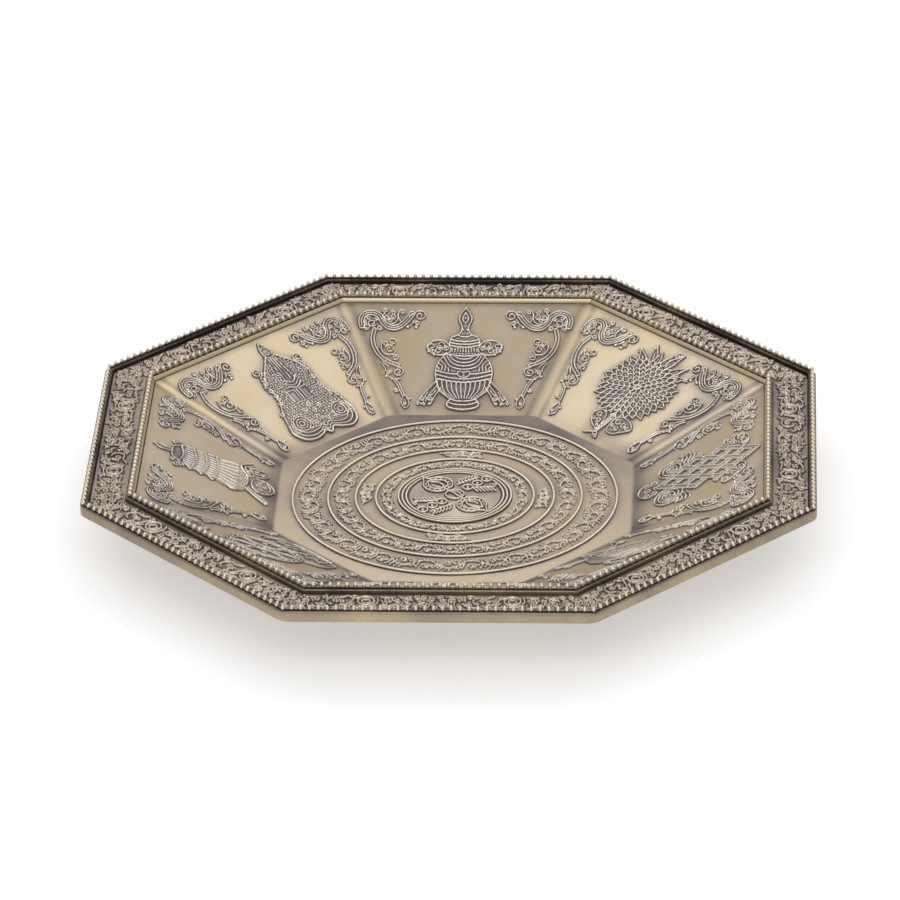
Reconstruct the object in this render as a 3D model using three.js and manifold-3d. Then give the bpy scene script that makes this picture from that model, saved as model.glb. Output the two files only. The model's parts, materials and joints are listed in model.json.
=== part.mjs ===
// An octagonal fire offering tray in antiqued brass: a pressed pan with eight sloping walls,
// a channel-shaped rim frame with two beaded wires, and raised ornament soldered on.
// Millimetres. +Z is up, z = 0 is the flat underside, and side 1 faces +Y. Sides run clockwise from above.
import * as THREE from 'three';
import { mergeVertices } from 'three/addons/utils/BufferGeometryUtils.js';
import Module from 'manifold-3d';

const wasm = await Module();
wasm.setup();

// Plan of the tray, from the middle of the floor outwards
const SIDES = 8;
const MEDALLION_RADIUS = 20.1;
const RING_SPACINGS = [12.3, 9.6, 7, 7.3]; // each floor ring to the next one in, and the last to the medallion
const FLOOR_MARGIN = 5.7; // from the outer floor ring to the foot of the walls
const WALL_RUN = 44.8; // level distance from the foot of a sloping wall to the seam at its top
const RIM_WIDTH = 18.2; // from the seam to the outside of the skirt
const SKIRT_CORNER_RADIUS = 5;

// Heights above the table
const RIM_HEIGHT = 24.8; // top of the rim's two walls, under the beads
const SEAM_HEIGHT = 23.2; // where the sloping walls meet the bright inner wall
const SKIRT_DROP = 3.9; // from the top of the rim's walls to the skirt's lower edge
const CHANNEL_DEPTH = 2; // from the top of the rim's walls to the channel's floor

// Thicknesses
const PAN_THICKNESS = 1.6;
const OUTER_WALL = 2.6;
const INNER_WALL = 2.7;
const CHANNEL_THICKNESS = 1.1;
const FLANGE_THICKNESS = 1.5;
const FLANGE_WIDTH = 11; // how far the pan's flange reaches outwards under the rim frame's channel

// Clearances
const SEAT_GAP = 0.3; // film of solder between a piece and what it lies on
const MITRE_GAP = 0.3; // between the ends of two neighbouring scroll bands

// Beaded wires
const OUTER_BEAD = { pitch: 2.93, width: 2.2, height: 1.5 };
const INNER_BEAD = { pitch: 2.82, width: 2.1, height: 1.5 };
const BEAD_CROWN = 0.56; // width of a bead's crown over the width of its foot
const BEAD_NECK = 0.42; // width and height of the neck between two beads over those of a bead

// Scroll bands in the channel, with a running vine in relief
const BAND_THICKNESS = 0.9;
const VINE_WIDTH = 1.7;
const VINE_RISE = 0.4;
const VINE_WAVES = 2;
const VINE_STEPS = 16;

// Raised ornament, drawn on a grid that has DRAWN_ROWS rows from the seam down to the floor
const DRAWN_ROWS = 49.7;
const EMBLEM_THICKNESS = 1.1;
const SCROLL_THICKNESS = 0.9;
const SCROLL_STEPS = 18;
const EMBLEM_CENTRE = 20.5; // middle of the flower and the knot, down the drawn wall
const PETALS = 15;
const PETAL_SPREAD = 2.4; // radians from the top of the flower to its lowest petal
const PETAL_VALLEY = 0.82; // the valley between two petals over their tips
const FLOWER_HALF_WIDTH = 14.4;
const FLOWER_HALF_HEIGHT = 18;
const STRAP_WIDTH = 2.6;
const STRAP_PITCH = 5;
const STRAP_LEAN = THREE.MathUtils.degToRad(52);
const WHEEL_RADIUS = 13.6;
const WHEEL_RIM = 2.6;
const WHEEL_SPOKE = 1.9;
const WHEEL_HUB = 3.4;
const WHEEL_CENTRE = 21.5;

// Floor
const RING_WIDTH = 1.4;
const RING_HEIGHT = 0.7;
const RING_STEPS = 32;
const FLOOR_VINE_WAVES = [20, 16, 12]; // the vines inside the first, second and last floor ring
const FLOOR_VINE_WIDTH = 1.5;
const FLOOR_VINE_MARGIN = 1.6; // from the middle of a ring to the nearest bend of the vine
const FLOOR_VINE_HEIGHT = 0.6;
const SPRAY_SPAN = 13;
const SPRAY_STEPS = 4;
const SPRAY_RING = 2; // the sprays stand inside the third ring
const MEDALLION_RIM_WIDTH = 4.2;
const MEDALLION_THICKNESS = 0.5;
const MEDALLION_RIM_RISE = 0.4;
const MEDALLION_RIM_BEVEL = 0.8;
const VAJRA_CLEARANCE = 1; // between the vajra's points and the medallion's rim
const VAJRA_THICKNESS = 0.6;

// Sizes that follow from the ones above
const HALF_ANGLE = Math.PI / SIDES;
const RING_RADII = RING_SPACINGS.map((_, place) => {
  return RING_SPACINGS.slice(place).reduce((radius, spacing) => radius + spacing, MEDALLION_RADIUS);
});
const FLOOR_APOTHEM = RING_RADII[0] + FLOOR_MARGIN;
const MOUTH_APOTHEM = FLOOR_APOTHEM + WALL_RUN;
const OUTER_APOTHEM = MOUTH_APOTHEM + RIM_WIDTH;
const CHANNEL_TOP = RIM_HEIGHT - CHANNEL_DEPTH;
const CHANNEL_BOTTOM = CHANNEL_TOP - CHANNEL_THICKNESS;
const INNER_WALL_INSIDE = MOUTH_APOTHEM + SEAT_GAP;
const INNER_WALL_OUTSIDE = INNER_WALL_INSIDE + INNER_WALL;
const OUTER_WALL_INSIDE = OUTER_APOTHEM - OUTER_WALL;
const SLOPE_RISE = SEAM_HEIGHT - PAN_THICKNESS;
const SLOPE_LENGTH = Math.hypot(WALL_RUN, SLOPE_RISE);
const SLOPE_ANGLE = Math.atan2(SLOPE_RISE, WALL_RUN);
const MOUTH_HALF_SIDE = MOUTH_APOTHEM * Math.tan(HALF_ANGLE);
const FLOOR_HALF_SIDE = FLOOR_APOTHEM * Math.tan(HALF_ANGLE);
const ORNAMENT_SCALE = SLOPE_LENGTH / DRAWN_ROWS;

const FINISHES = {
  field: { color: 0xb3a389, roughness: 0.42, metalness: 0.85 },
  bright: { color: 0xbda66f, roughness: 0.35, metalness: 0.9 },
  dark: { color: 0x6e6468, roughness: 0.6, metalness: 0.7 },
  relief: { color: 0xc3b79f, roughness: 0.4, metalness: 0.85 },
  bead: { color: 0xd8ccb2, roughness: 0.35, metalness: 0.9 },
};

function mesh(name, geometry, finish) {
  const made = new THREE.Mesh(geometry, new THREE.MeshStandardMaterial(FINISHES[finish]));
  made.name = name;
  return made;
}

// A closed geometry as a solid that can be joined and cut.
function toSolid(geometry) {
  const bare = geometry.clone();
  bare.deleteAttribute('normal');
  bare.deleteAttribute('uv');
  const merged = mergeVertices(bare, 1e-4);
  return new wasm.Manifold(new wasm.Mesh({
    numProp: 3,
    vertProperties: new Float32Array(merged.getAttribute('position').array),
    triVerts: new Uint32Array(merged.getIndex().array),
  }));
}

function toGeometry(solid) {
  const { vertProperties, triVerts } = solid.getMesh();
  const geometry = new THREE.BufferGeometry();
  geometry.setAttribute('position', new THREE.BufferAttribute(new Float32Array(vertProperties), 3));
  geometry.setIndex(new THREE.BufferAttribute(new Uint32Array(triVerts), 1));
  geometry.computeVertexNormals();
  return geometry;
}

function join(geometries) {
  return toGeometry(geometries.map(toSolid).reduce((whole, piece) => whole.add(piece)));
}

// Revolves a closed profile of [distance from the axis, height] pairs, listed with the material on its left.
function revolve(profile, steps, startAngle) {
  const points = profile.map(([distance, z]) => new THREE.Vector2(distance, z));
  return new THREE.LatheGeometry(points, steps, startAngle).rotateX(Math.PI / 2);
}

// The same with flat sides: distances are measured to the middle of a side.
function revolveOctagon(profile) {
  const corners = profile.map(([apothem, z]) => [apothem / Math.cos(HALF_ANGLE), z]);
  return revolve(corners, SIDES, HALF_ANGLE);
}

function slab(shape, thickness) {
  return new THREE.ExtrudeGeometry(shape, { depth: thickness, bevelEnabled: false, curveSegments: 4 });
}

// A point drawn as [across, down from the seam] on a sloping wall.
function drawn([across, down]) {
  return new THREE.Vector2(across, -down);
}

// A smooth run of points through the ones given, both ends included.
function through(points, steps) {
  return new THREE.SplineCurve(points.map(drawn)).getPoints(steps);
}

// The right half of an outline, from its top to its bottom on the centre line, with its mirror image.
function symmetric(half) {
  const left = half.slice(1, -1).map(({ x, y }) => new THREE.Vector2(-x, y)).reverse();
  return new THREE.Shape([...half, ...left]);
}

// A band of changing width along a smooth line.
function ribbon(points, widths, steps) {
  const line = new THREE.SplineCurve(points.map(drawn));
  const near = [];
  const far = [];
  for (let step = 0; step <= steps; step += 1) {
    const share = step / steps;
    const place = share * (widths.length - 1);
    const before = Math.min(Math.floor(place), widths.length - 2);
    const half = THREE.MathUtils.lerp(widths[before], widths[before + 1], place - before) / 2;
    const centre = line.getPoint(share);
    const across = line.getTangent(share).rotateAround(new THREE.Vector2(), Math.PI / 2);
    near.push(centre.clone().addScaledVector(across, half));
    far.unshift(centre.clone().addScaledVector(across, -half));
  }
  return new THREE.Shape([...near, ...far]);
}

function pan() {
  const flangeTop = CHANNEL_BOTTOM - SEAT_GAP;
  const flangeBottom = flangeTop - FLANGE_THICKNESS;
  const footApothem = FLOOR_APOTHEM + PAN_THICKNESS * Math.tan(SLOPE_ANGLE / 2);
  const outside = (z) => footApothem + (z * WALL_RUN) / SLOPE_RISE;
  return revolveOctagon([
    [0, 0],
    [footApothem, 0],
    [outside(flangeBottom), flangeBottom],
    [INNER_WALL_OUTSIDE + FLANGE_WIDTH, flangeBottom],
    [INNER_WALL_OUTSIDE + FLANGE_WIDTH, flangeTop],
    [MOUTH_APOTHEM, flangeTop],
    [MOUTH_APOTHEM, SEAM_HEIGHT],
    [FLOOR_APOTHEM, PAN_THICKNESS],
    [0, PAN_THICKNESS],
  ]);
}

// An octagon with rounded corners, as a prism that trims the skirt.
function roundedPrism(apothem, radius, height) {
  const shape = new THREE.Shape();
  const centre = (apothem - radius) / Math.cos(HALF_ANGLE);
  for (let corner = 0; corner < SIDES; corner += 1) {
    const angle = (2 * corner + 1) * HALF_ANGLE;
    const x = centre * Math.cos(angle);
    const y = centre * Math.sin(angle);
    shape.absarc(x, y, radius, angle - HALF_ANGLE, angle + HALF_ANGLE, false);
  }
  return slab(shape, height);
}

function rimFrame() {
  const skirtBottom = RIM_HEIGHT - SKIRT_DROP;
  const frame = revolveOctagon([
    [INNER_WALL_INSIDE, CHANNEL_BOTTOM],
    [OUTER_WALL_INSIDE, CHANNEL_BOTTOM],
    [OUTER_WALL_INSIDE, skirtBottom],
    [OUTER_APOTHEM, skirtBottom],
    [OUTER_APOTHEM, RIM_HEIGHT],
    [OUTER_WALL_INSIDE, RIM_HEIGHT],
    [OUTER_WALL_INSIDE, CHANNEL_TOP],
    [INNER_WALL_OUTSIDE, CHANNEL_TOP],
    [INNER_WALL_OUTSIDE, RIM_HEIGHT],
    [INNER_WALL_INSIDE, RIM_HEIGHT],
    [INNER_WALL_INSIDE, CHANNEL_BOTTOM],
  ]);
  const prism = roundedPrism(OUTER_APOTHEM, SKIRT_CORNER_RADIUS, RIM_HEIGHT + 1);
  return toGeometry(toSolid(frame).intersect(toSolid(prism)));
}

// Joins two neighbouring cross-sections of a beaded wire: a bead's with four corners, a neck's with three.
function beadFaces(bead, neck) {
  return [
    [neck, bead, bead + 1],
    [neck, bead + 1, neck + 1],
    [neck + 1, bead + 1, bead + 2],
    [neck + 1, bead + 2, neck + 2],
    [neck + 2, bead + 2, bead + 3],
    [neck + 2, bead + 3, bead],
    [neck + 2, bead, neck],
  ];
}

// A beaded wire on top of a wall: beads and necks in turn, with a bead on every corner.
function beadedWire(apothem, bead) {
  const side = 2 * apothem * Math.tan(HALF_ANGLE);
  const perSide = Math.round(side / bead.pitch);
  const half = bead.width / 2;
  const crown = half * BEAD_CROWN;
  const neck = half * BEAD_NECK;
  const beadSection = [[-half, 0], [half, 0], [crown, bead.height], [-crown, bead.height]];
  const neckSection = [[-neck, 0], [neck, 0], [0, bead.height * BEAD_NECK]];
  const positions = [];
  const firsts = [];
  for (let ring = 0; ring < SIDES * perSide * 2; ring += 1) {
    const step = ring % (2 * perSide);
    const sideAngle = Math.floor(ring / (2 * perSide)) * 2 * HALF_ANGLE;
    const outward = step === 0 ? sideAngle - HALF_ANGLE : sideAngle;
    const centre = new THREE.Vector2(apothem, side * (step / (2 * perSide) - 0.5));
    centre.rotateAround(new THREE.Vector2(), sideAngle);
    firsts.push(positions.length / 3);
    for (const [across, up] of ring % 2 === 0 ? beadSection : neckSection) {
      const x = centre.x + across * Math.cos(outward);
      const y = centre.y + across * Math.sin(outward);
      positions.push(x, y, RIM_HEIGHT + SEAT_GAP + up);
    }
  }
  const indices = [];
  firsts.forEach((first, ring) => {
    const next = firsts[(ring + 1) % firsts.length];
    const faces = ring % 2 === 0 ? beadFaces(first, next) : beadFaces(next, first);
    for (const [a, b, c] of faces) {
      indices.push(...(ring % 2 === 0 ? [a, c, b] : [a, b, c]));
    }
  });
  const geometry = new THREE.BufferGeometry();
  geometry.setAttribute('position', new THREE.Float32BufferAttribute(positions, 3));
  geometry.setIndex(indices);
  geometry.computeVertexNormals();
  return geometry;
}

// A strip of scrollwork that fills one side of the channel, cut to a mitre at both ends.
function scrollBand() {
  const inner = INNER_WALL_OUTSIDE + SEAT_GAP;
  const outer = OUTER_WALL_INSIDE - SEAT_GAP;
  const halfWidth = (apothem) => apothem * Math.tan(HALF_ANGLE) - MITRE_GAP / 2 / Math.cos(HALF_ANGLE);
  const plate = new THREE.Shape([
    new THREE.Vector2(-halfWidth(inner), inner),
    new THREE.Vector2(halfWidth(inner), inner),
    new THREE.Vector2(halfWidth(outer), outer),
    new THREE.Vector2(-halfWidth(outer), outer),
  ]);
  const middle = (inner + outer) / 2;
  const swing = (outer - inner) / 2 - VINE_WIDTH;
  const reach = halfWidth(inner) - VINE_WIDTH;
  const wave = [];
  for (let step = 0; step <= VINE_STEPS; step += 1) {
    const share = step / VINE_STEPS;
    wave.push([reach * (2 * share - 1), -middle - swing * Math.cos(share * VINE_WAVES * 2 * Math.PI)]);
  }
  const vine = slab(ribbon(wave, [VINE_WIDTH, VINE_WIDTH], VINE_STEPS), BAND_THICKNESS + VINE_RISE);
  return join([slab(plate, BAND_THICKNESS), vine]);
}

function vase() {
  return symmetric([
    ...through([[0, 2.2], [1.6, 4.8], [2.4, 7.6], [1.4, 10.8]], 5),
    ...through([[2.1, 13], [2.6, 14.6], [5.2, 16], [5.5, 18], [5, 19.8]], 4),
    ...through([[6.4, 18.4], [9.4, 16.4], [13.4, 18], [12.6, 21], [10.4, 23.4], [8, 24]], 7),
    ...through([[9.4, 27.4], [10.3, 31], [9.9, 34.6]], 3),
    ...[[16.7, 44.4], [15.2, 46], [13.6, 44.8], [12, 45.8], [8.8, 39.4]].map(drawn),
    ...through([[7.4, 41.4], [5, 43.2], [5.8, 45], [4.6, 47.2], [0, 47.8]], 6),
  ]);
}

// A many-petalled flower seen from the front, on a stem between two leaves.
function lotus() {
  const tips = [];
  for (let step = 0; step <= 2 * PETALS; step += 1) {
    const turn = THREE.MathUtils.lerp(-PETAL_SPREAD, PETAL_SPREAD, step / (2 * PETALS));
    const reach = step % 2 === 0 ? PETAL_VALLEY : 1;
    const across = FLOWER_HALF_WIDTH * reach * Math.sin(turn);
    tips.push([across, EMBLEM_CENTRE - FLOWER_HALF_HEIGHT * reach * Math.cos(turn)]);
  }
  const stem = [[12.2, 39.6], [8.8, 43.4], [3.4, 42], [2.8, 47.6], [-2.2, 47.8], [-1, 43.4], [-5.6, 41.6]];
  return new THREE.Shape([...tips, ...stem].map(drawn));
}

// An endless knot: straps crossing both ways, with a square loop at each corner and a tassel below.
function knot() {
  const half = STRAP_WIDTH / 2;
  const near = STRAP_PITCH - half;
  const beyond = STRAP_PITCH + half;
  const far = 2 * STRAP_PITCH + half;
  const hole = STRAP_PITCH / 2 - half;
  const woven = ({ x, y }) => {
    return drawn([(x + y) * Math.cos(STRAP_LEAN), EMBLEM_CENTRE + (y - x) * Math.sin(STRAP_LEAN)]);
  };
  const tassel = [[1.2, 36.8], [3.8, 40.4], [4.4, 44.8], [0, 47.6], [-4.4, 44.8], [-3.8, 40.4], [-1.2, 36.8]];
  const centre = new THREE.Vector2();
  const outline = [];
  const holes = [];
  for (let turn = 0; turn < 4; turn += 1) {
    const turned = ([x, y]) => new THREE.Vector2(x, y).rotateAround(centre, (turn * Math.PI) / 2);
    const loop = [[beyond, near], [far, near], [far, far], [near, far], [near, beyond]];
    const corner = loop.map(turned).map(woven);
    if (turn === 1) corner.splice(2, 1, ...tassel.map(drawn));
    outline.push(...corner);
    for (const middle of [STRAP_PITCH / 2, 1.5 * STRAP_PITCH]) {
      const square = [[-hole, -hole], [hole, -hole], [hole, hole], [-hole, hole]];
      holes.push(square.map(([x, y]) => woven(turned([middle + x, middle + y]))));
    }
  }
  const shape = new THREE.Shape(outline);
  shape.holes = holes.map((points) => new THREE.Shape(points));
  return shape;
}

// A whorled shell standing on its canal, with its mouth to the right.
function conch() {
  return new THREE.Shape([
    ...[[-2.6, 2.6], [0.2, 5.8], [-0.2, 7.6], [3.8, 10], [3.4, 12.6]].map(drawn),
    ...through([[8.6, 15.6], [12, 21.6], [11.4, 29], [7.4, 36.2], [3.2, 41.6], [1, 47.2]], 9),
    ...through([[-1.6, 44.4], [-3.2, 38], [-7.6, 32.4], [-11, 26], [-10.4, 19.6], [-7.6, 15.6]], 8),
    ...[[-8.4, 12.6], [-5, 9.8], [-5.8, 7.2]].map(drawn),
  ]);
}

// Two fish standing head up, their tails crossed below.
function fish() {
  const shape = symmetric([
    ...through([[0, 6.4], [2.6, 3.2], [6.6, 3.8], [9.4, 8]], 6),
    ...through([[12.4, 14.6], [12.8, 22], [10.6, 29.4], [7.4, 35.6]], 6),
    ...through([[12.6, 40.8], [12.2, 45.8]], 1),
    ...through([[7.4, 43.8], [3, 47.2], [0, 40.6]], 3),
  ]);
  const gap = through([[0, 10], [3.4, 14], [4.6, 20], [3.2, 27], [0, 33.4]], 6);
  shape.holes.push(symmetric(gap));
  return shape;
}

// An eight-spoked wheel under a jewel, on a lotus seat.
function wheel() {
  const polar = (radius, angle) => drawn([radius * Math.sin(angle), WHEEL_CENTRE - radius * Math.cos(angle)]);
  const rim = [];
  for (let step = 0; step <= 10; step += 1) {
    rim.push(polar(WHEEL_RADIUS, THREE.MathUtils.lerp(0.14, 2.7, step / 10)));
  }
  const shape = symmetric([
    ...[[0, 2.4], [2.2, 5.2], [1.8, 8.4]].map(drawn),
    ...rim,
    ...through([[10.4, 37.4], [11, 41], [7.2, 43], [9.8, 46], [8.4, 47.6], [0, 47.8]], 6),
  ]);
  const inside = WHEEL_RADIUS - WHEEL_RIM;
  const edge = WHEEL_SPOKE / 2;
  for (let spoke = 0; spoke < 8; spoke += 1) {
    const start = (spoke * Math.PI) / 4;
    const end = start + Math.PI / 4;
    shape.holes.push(new THREE.Shape([
      polar(WHEEL_HUB, start + edge / WHEEL_HUB),
      polar(inside, start + edge / inside),
      polar(inside, (start + end) / 2),
      polar(inside, end - edge / inside),
      polar(WHEEL_HUB, end - edge / WHEEL_HUB),
    ]));
  }
  return shape;
}

// A banner of three tiers under a canopy, with scarf ends and a bell below.
function banner() {
  return symmetric([
    ...through([[0, 2.6], [1.6, 4.8], [1.1, 8.2], [1.8, 9.8], [5, 12.2]], 6),
    ...[[8.4, 10.8], [9.6, 13.4], [6.6, 15.4], [6.4, 17.2], [8.2, 19.2], [6.4, 20.8], [8.6, 23]].map(drawn),
    ...[[6.8, 24.6], [9.6, 27], [8.2, 28.4], [9.8, 33.6], [8, 36.4], [10.8, 45.4], [7.6, 46.8]].map(drawn),
    ...through([[5, 41.2], [4.8, 45.4], [2.6, 47.8], [0, 48.2]], 3),
  ]);
}

// A parasol under a pointed finial, with knotted scarves at its shoulders, over a base of two lobes.
function parasol() {
  return symmetric([
    ...through([[0, 1.8], [1.9, 4.2], [2.2, 7.2], [1.7, 9]], 4),
    ...[[8, 13.8]].map(drawn),
    ...through([[8.8, 11.4], [11.8, 11.2], [13.2, 14], [11.4, 16.6]], 4),
    ...[[11.2, 19.6], [11.6, 21.8], [9.8, 22.8], [10.2, 28.6], [12.8, 33], [13.2, 37.6]].map(drawn),
    ...through([[14.4, 40.8], [13.6, 45], [10, 47.2], [6, 46.8], [3, 45]], 6),
    drawn([0, 47.4]),
  ]);
}

// A plate with the outline's holes cut right through it.
function emblemPlate(shape) {
  const blank = toSolid(slab(new THREE.Shape(shape.getPoints()), EMBLEM_THICKNESS));
  const plate = shape.holes.reduce((left, hole) => {
    const punch = slab(hole, 3 * EMBLEM_THICKNESS).translate(0, 0, -EMBLEM_THICKNESS);
    return left.subtract(toSolid(punch));
  }, blank);
  return toGeometry(plate).scale(ORNAMENT_SCALE, ORNAMENT_SCALE, 1);
}

// One long scroll: a volute by the emblem, a hanging curve along the seam, a volute in the wall's upper
// corner, and a stem that follows the crease down to a drop. Points are [in from the crease, down].
function cornerScroll(hand) {
  const line = [
    [26.2, 7.2], [25.9, 3.6], [22, 5.4], [18, 9.2], [14.2, 9.8], [11, 8.6], [9.7, 5.6], [6.9, 5.2],
    [4.6, 8.6], [6.4, 11.4], [5.3, 16], [5.2, 21], [6.9, 25.6], [9.9, 28.8], [8.9, 32], [7, 35],
    [7.4, 38.8], [7.8, 42.4], [6.5, 47],
  ];
  const widths = [3.4, 2.4, 1.8, 2.2, 6.2, 2.2, 1.8, 2.4, 5, 3.6, 1.8, 3.2, 2.2, 2.4, 4, 1.8, 2.6, 1.6, 3];
  const creaseLean = (MOUTH_HALF_SIDE - FLOOR_HALF_SIDE) / SLOPE_LENGTH;
  const placed = line.map(([inward, down]) => {
    const crease = MOUTH_HALF_SIDE - creaseLean * down * ORNAMENT_SCALE;
    return [hand * (crease - inward * ORNAMENT_SCALE), down * ORNAMENT_SCALE];
  });
  return slab(ribbon(placed, widths.map((width) => width * ORNAMENT_SCALE), SCROLL_STEPS), SCROLL_THICKNESS);
}

function floorRing(radius) {
  const base = PAN_THICKNESS + SEAT_GAP;
  const half = RING_WIDTH / 2;
  return revolve([
    [radius - half, base],
    [radius + half, base],
    [radius + half / 2, base + RING_HEIGHT],
    [radius - half / 2, base + RING_HEIGHT],
    [radius - half, base],
  ], RING_STEPS);
}

// A vine that runs in even waves round the floor between two circles.
function floorVine(outer, inner, waves) {
  const middle = (outer + inner) / 2;
  const half = FLOOR_VINE_WIDTH / 2;
  const swing = (outer - inner) / 2 - FLOOR_VINE_MARGIN - half;
  const contour = (offset) => {
    const points = [];
    for (let bend = 0; bend < 2 * waves; bend += 1) {
      const radius = middle + offset + (bend % 2 === 0 ? swing : -swing);
      const angle = (bend * Math.PI) / waves;
      points.push(new THREE.Vector2(radius * Math.cos(angle), radius * Math.sin(angle)));
    }
    return points;
  };
  const shape = new THREE.Shape(contour(half));
  shape.holes = [new THREE.Path(contour(-half))];
  return slab(shape, FLOOR_VINE_HEIGHT);
}

// A short spray of the same vine, in the middle between two circles on the +Y side.
function floorSpray(outer, inner) {
  const middle = (outer + inner) / 2;
  const swing = (outer - inner) / 2 - FLOOR_VINE_MARGIN - FLOOR_VINE_WIDTH / 2;
  const wave = [-2, -1, 0, 1, 2].map((bend) => {
    return [(bend * SPRAY_SPAN) / 4, -middle + (bend % 2 === 0 ? swing : -swing)];
  });
  return slab(ribbon(wave, wave.map(() => FLOOR_VINE_WIDTH), SPRAY_STEPS), FLOOR_VINE_HEIGHT);
}

// A low disc with a raised rim round a flat field.
function medallion() {
  const base = PAN_THICKNESS + SEAT_GAP;
  const field = base + MEDALLION_THICKNESS;
  const inner = MEDALLION_RADIUS - MEDALLION_RIM_WIDTH;
  return revolve([
    [0, base],
    [MEDALLION_RADIUS, base],
    [MEDALLION_RADIUS - MEDALLION_RIM_BEVEL, field + MEDALLION_RIM_RISE],
    [inner + MEDALLION_RIM_BEVEL, field + MEDALLION_RIM_RISE],
    [inner, field],
    [0, field],
  ], RING_STEPS);
}

// Two crossed thunderbolts: four like arms, each a collar and a three-pronged head.
function doubleVajra() {
  const length = MEDALLION_RADIUS - MEDALLION_RIM_WIDTH - VAJRA_CLEARANCE;
  const arm = [
    [0.15, 0.15], [0.3, 0.09], [0.37, 0.17], [0.44, 0.09], [0.56, 0.25], [0.74, 0.3], [0.89, 0.16],
  ];
  const outline = [];
  for (let quarter = 0; quarter < 4; quarter += 1) {
    const turn = (quarter * Math.PI) / 2 + Math.PI / 4;
    const half = [...arm, [1, 0]].map(([along, aside]) => new THREE.Vector2(along, -aside));
    const other = arm.slice(1).map(([along, aside]) => new THREE.Vector2(along, aside)).reverse();
    for (const point of [...half, ...other]) {
      outline.push(point.multiplyScalar(length).rotateAround(new THREE.Vector2(), turn));
    }
  }
  const z = PAN_THICKNESS + MEDALLION_THICKNESS + 2 * SEAT_GAP;
  return slab(new THREE.Shape(outline), VAJRA_THICKNESS).translate(0, 0, z);
}

// A frame on one sloping wall: origin at the middle of the seam, +Y up the slope, +Z off the wall.
function wallFrame() {
  const frame = new THREE.Group();
  frame.position.set(0, MOUTH_APOTHEM, SEAM_HEIGHT);
  frame.rotation.x = SLOPE_ANGLE;
  frame.translateZ(SEAT_GAP);
  return frame;
}

const EMBLEMS = { vase, lotus, knot, conch, fish, wheel, banner, parasol };

const tray = new THREE.Group();
tray.add(mesh('pan', pan(), 'field'));
tray.add(mesh('rim_frame', rimFrame(), 'bright'));
tray.add(mesh('outer_bead_border', beadedWire(OUTER_APOTHEM - OUTER_WALL / 2, OUTER_BEAD), 'bead'));
tray.add(mesh('inner_bead_border', beadedWire(INNER_WALL_INSIDE + INNER_WALL / 2, INNER_BEAD), 'bead'));
RING_RADII.forEach((radius, place) => {
  tray.add(mesh(`floor_ring_${place + 1}`, floorRing(radius), 'relief'));
});
const onFloor = PAN_THICKNESS + SEAT_GAP;
const circles = [...RING_RADII, MEDALLION_RADIUS];
const vined = circles.map((outer, place) => [outer, circles[place + 1]]).slice(0, -1);
vined.filter((_, place) => place !== SPRAY_RING).forEach(([outer, inner], place) => {
  const vine = mesh(`floor_vine_${place + 1}`, floorVine(outer, inner, FLOOR_VINE_WAVES[place]), 'relief');
  vine.position.z = onFloor;
  tray.add(vine);
});
for (let quarter = 0; quarter < 4; quarter += 1) {
  const spray = mesh(`floor_spray_${quarter + 1}`, floorSpray(...vined[SPRAY_RING]), 'relief');
  spray.rotation.z = (-quarter * Math.PI) / 2;
  spray.position.z = onFloor;
  tray.add(spray);
}
tray.add(mesh('medallion', medallion(), 'field'));
tray.add(mesh('double_vajra', doubleVajra(), 'relief'));
Object.entries(EMBLEMS).forEach(([name, shape], place) => {
  const side = new THREE.Group();
  side.rotation.z = -2 * HALF_ANGLE * place;
  const band = mesh(`scroll_band_${place + 1}`, scrollBand(), 'dark');
  band.position.z = CHANNEL_TOP + SEAT_GAP;
  const wall = wallFrame();
  wall.add(mesh(`emblem_${name}`, emblemPlate(shape()), 'relief'));
  wall.add(mesh(`corner_scroll_left_${place + 1}`, cornerScroll(-1), 'relief'));
  wall.add(mesh(`corner_scroll_right_${place + 1}`, cornerScroll(1), 'relief'));
  side.add(band, wall);
  tray.add(side);
});

export default tray;
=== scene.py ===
"""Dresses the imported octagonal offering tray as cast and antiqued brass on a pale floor.

Every length in a drawing is in millimetres. A drawing lies flat, with x to the right and y downwards,
and is painted as heights on a canvas, which then becomes a raised, closed mesh in its place on the tray.
"""

import json
import logging
import math
import random
from dataclasses import dataclass, field, replace
from enum import Enum
from typing import Callable, Iterable, Sequence

import bmesh
import bpy
import numpy as np
from mathutils import Matrix, Vector, noise

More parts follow.
